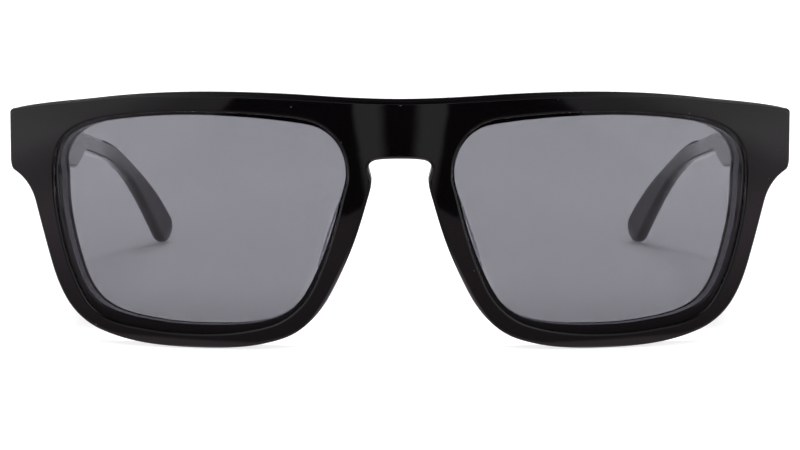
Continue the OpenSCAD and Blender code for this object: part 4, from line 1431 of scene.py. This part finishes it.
def table_finish():
    material, tree, place = finish("white sweep")
    path_kind = tree.add("ShaderNodeLightPath", out="Is Camera Ray")
    grain = cloud(tree, place, 900)
    x, y, _ = tree.parts(place)
    wide = abs(x) / MM
    behind = y / MM - front_centre - wide * wide / (2 * bend_radius)  # from the bent face of the clip
    shade_inner, shade_outer = (21 - behind * 0.04).most(10), 55 + behind * 0.12
    # The zone behind each lens where a shadow is painted into the table's white glow.
    painted_shadow_zone = (wide.eased(shade_inner - 2, shade_inner + 3)
                  * (1 - wide.eased(shade_outer, shade_outer + 18)) * behind.eased(4, 24))
    # How deep the painted shadow is. It is lighter far behind the lenses.
    shade = painted_shadow_zone * (0.54 - behind.eased(140, 260) * 0.14 - behind.eased(35, 70) * 0.12)
    # Painted reflection: the table glows only for reflections, and more at its far sides.
    far_side_reflection_glow = wide.eased(50, 70) * behind.eased(100, 160)
    seen_lift, painted_reflection_lift = 0.78 - shade, path_kind.also("Is Glossy Ray") * far_side_reflection_glow.between(0.8, 1.6)
    shader = tree.add("ShaderNodeBsdfPrincipled", {}, {
        "Base Color": (0.8, 0.8, 0.8, 1), "Roughness": 0.75 + grain * 0.1, "Specular IOR Level": 0.2})
    # For the camera the glow is the even white lift less the painted shadow. For reflections it is the painted
    # reflection glow.
    glow = tree.add("ShaderNodeEmission", {}, {
        "Color": (1, 1, 1, 1), "Strength": path_kind.between(painted_reflection_lift, seen_lift)})
    close_finish(tree, tree.add("ShaderNodeAddShader", {}, {0: shader, 1: glow}))
    return material


table = stage_sheet("table", 24.0, 24.0, 6.0, 0.0, table_finish())
print("Stage:", table.name, [round(v, 1) for v in table.dimensions], "m")

# %% [markdown]
# ## The room and the lamps
#
# One large soft box hangs over the glasses and a smaller one stands high in front. The room itself is white
# to the camera. Reflections see another room, dark at the middle and lighter to the sides, because that is
# what the rolled edges and the inner walls of the rims mirror. An image of a real studio could light the
# scene, but its lamps and windows would show in the polish.

# %% Pale room, overhead and front soft boxes
world = bpy.data.worlds.new("pale room")
bpy.context.scene.world = world
world.use_nodes = True
world.node_tree.nodes.clear()
room = Tree(world.node_tree)
seen = room.add("ShaderNodeLightPath", out="Is Camera Ray")
mirrored_ray, passed_ray = seen.also("Is Glossy Ray"), seen.also("Is Transmission Ray")
direction = room.parts(room.add("ShaderNodeTexCoord", out="Generated"))
aside, above = abs(direction[0]), direction[2]
darkest_wall, fill_light = 0.022, 0.3
low_sides, high_sides = aside.eased(0.15, 0.6) * 0.42, aside.eased(0.12, 0.5) * 0.9
wall_tone = (darkest_wall + aside.eased(0.02, 0.12) * 0.09 + aside.eased(0.4, 0.9) * 0.2
             + above.eased(0.3, 0.8).between(low_sides, high_sides))
strength = seen.most(passed_ray).between(mirrored_ray.between(fill_light, wall_tone), 1.0)
background = room.add("ShaderNodeBackground", {}, {"Color": (1, 1, 1, 1), "Strength": strength})
room.add("ShaderNodeOutputWorld", {}, {"Surface": background})


def soft_box(name, place, aim, width, depth, watts):
    """A lamp that lights the glasses but isn't mirrored in them."""
    lamp = bpy.data.lights.new(name, "AREA")
    lamp.shape, lamp.size, lamp.size_y, lamp.energy = "RECTANGLE", width, depth, watts
    box = shown(name, lamp)
    box.location = place
    box.rotation_euler = (Vector(aim) - Vector(place)).to_track_quat("-Z", "Y").to_euler()
    box.visible_glossy = False
    return box


overhead = soft_box("overhead soft box", (0, 0.1, 1.3), (0, 0.02, 0), 0.8, 0.5, 12.5)
front_box = soft_box("front soft box", (0, -1.25, 0.85), (0, 0, 0), 0.9, 0.35, 6)
print("Lamps:", overhead.name, "|", front_box.name)

# %% [markdown]
# ## A sheet of painted reflections
#
# A sheet lies on the table between the camera and the glasses, and everything it shows is painted
# reflection. Like a black flag it keeps the inner half of the face deep black. Past its ends a painted grey
# stands in for the bare table and lights the endpieces grey, and two light strips paint the bridge's paler
# bands. A real flag of black card would also darken the picture's foreground, so this sheet is seen by
# reflections only. Its tone is worked out from its own coordinates, as the table's is. Close to the glasses
# it is grey, a painted reflection of the table just in front of them, and there it leans to a warm tone.
# Under the bridge and right under the rims it is lighter, which paints the soft gleams there.

# %% The sheet of painted reflections in front of the glasses
def painted_reflection_finish():
    """Measures are millimetres to the side of the centre line, and ahead of the clip's face."""
    material, tree, place = finish("flag and strips")
    x, y, _ = tree.parts(place)
    wide = abs(x) / MM
    ahead = (front_centre * MM - y) / MM
    # Painted reflections far from the glasses: near black in the middle, a painted grey for the bare table
    # past the ends, and two light strips for the bridge's bands.
    painted_table_reflection = (wide.eased(176, 182) * 0.36 + wide.eased(225, 310) * 0.4 + wide.eased(380, 700) * 1.2
                  + wide.eased(250, 300) * (1 - ahead.eased(250, 350)) * 0.2)
    strip_inner = 19 + (ahead - 460) * 0.0597
    strip_outer = 53 + (ahead - 467) * 0.1354
    strip = (wide.eased(strip_inner - 4, strip_inner + 8)
             * (1 - wide.eased(strip_outer - 3, strip_outer + 3)))
    painted_dark_reflection = 0.02
    painted_far_reflection = painted_dark_reflection + painted_table_reflection + strip * 0.46
    # Painted reflections close to the glasses: the grey table just in front, leaning warm, with painted gleams
    # under the bridge and right under the rims.
    painted_gleam_under_bridge = (1 - wide.eased(10, 16)) * (1 - ahead.eased(45, 75)) * 0.9
    painted_gleam_under_rims = (1 - ahead.eased(1, 5)) * 0.4
    painted_near_reflection = ((ahead / 120).kept().between(0.2, 0.29) + wide.eased(40, 190) * 0.4
                 + painted_gleam_under_bridge + painted_gleam_under_rims + wide.eased(230, 300) * 0.25)
    border = 184 + (1 - wide.eased(20, 31)) * 18
    softness = 2 + (wide - 45).kept(0, 120) * 0.6
    near = 1 - ahead.eased(border - softness, border + softness)
    # The sheet glows with these painted reflections and is seen by reflections only.
    glow = tree.add("ShaderNodeEmission", {}, {
        "Color": mixed(tree, near, (1, 0.97, 1), (1, 0.84, 0.93)),
        "Strength": near.between(painted_far_reflection, painted_near_reflection)})
    close_finish(tree, glow)
    return material


reflection_sheet_width, reflection_sheet_depth, reflection_sheet_lift, reflection_sheet_overlap = 1.6, 0.96, 0.0006, 0.012
reflection_sheet_centre = front_centre * MM - reflection_sheet_depth / 2 + reflection_sheet_overlap
painted_reflection_sheet = stage_sheet("painted_reflection_sheet", reflection_sheet_width, reflection_sheet_depth, reflection_sheet_centre, reflection_sheet_lift, painted_reflection_finish())
painted_reflection_sheet.visible_camera = False
painted_reflection_sheet.visible_diffuse = False
painted_reflection_sheet.visible_transmission = False
painted_reflection_sheet.visible_shadow = False
painted_reflection_sheet.visible_volume_scatter = False
print("Flag:", [round(v, 3) for v in painted_reflection_sheet.dimensions])

# %% [markdown]
# ## Camera
#
# A long lens about two thirds of a metre away, a little above the glasses and tilted down at the bottom half
# of the lenses. A shifted lens could look level instead, but the tilt is what a photographer would do here,
# and it needs no shift that other views would keep.

# %% Place the camera
camera_distance, camera_height, camera_dip = 0.6498, 0.1111, 7.67
camera_data = bpy.data.cameras.new("camera")
camera = shown("camera", camera_data)
bpy.context.scene.camera = camera
camera.location = (0, front_centre * MM - camera_distance, camera_height)
camera.rotation_euler = (math.radians(90 - camera_dip), 0, 0)
camera_data.sensor_width = 36.0
camera_data.lens = 161.0
camera_data.clip_start, camera_data.clip_end = 0.05, 40.0
print("Camera tilt:", round(math.degrees(camera.rotation_euler.x), 2), "degrees")

# %% Plain view settings, and the size of the dressed model
scene = bpy.context.scene
scene.view_settings.view_transform = "Standard"
dressed_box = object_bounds()
for label, box in (("Packed", cad_box), ("Dressed", dressed_box)):
    print(label, "box:", [round(v, 4) for corner in box for v in corner])
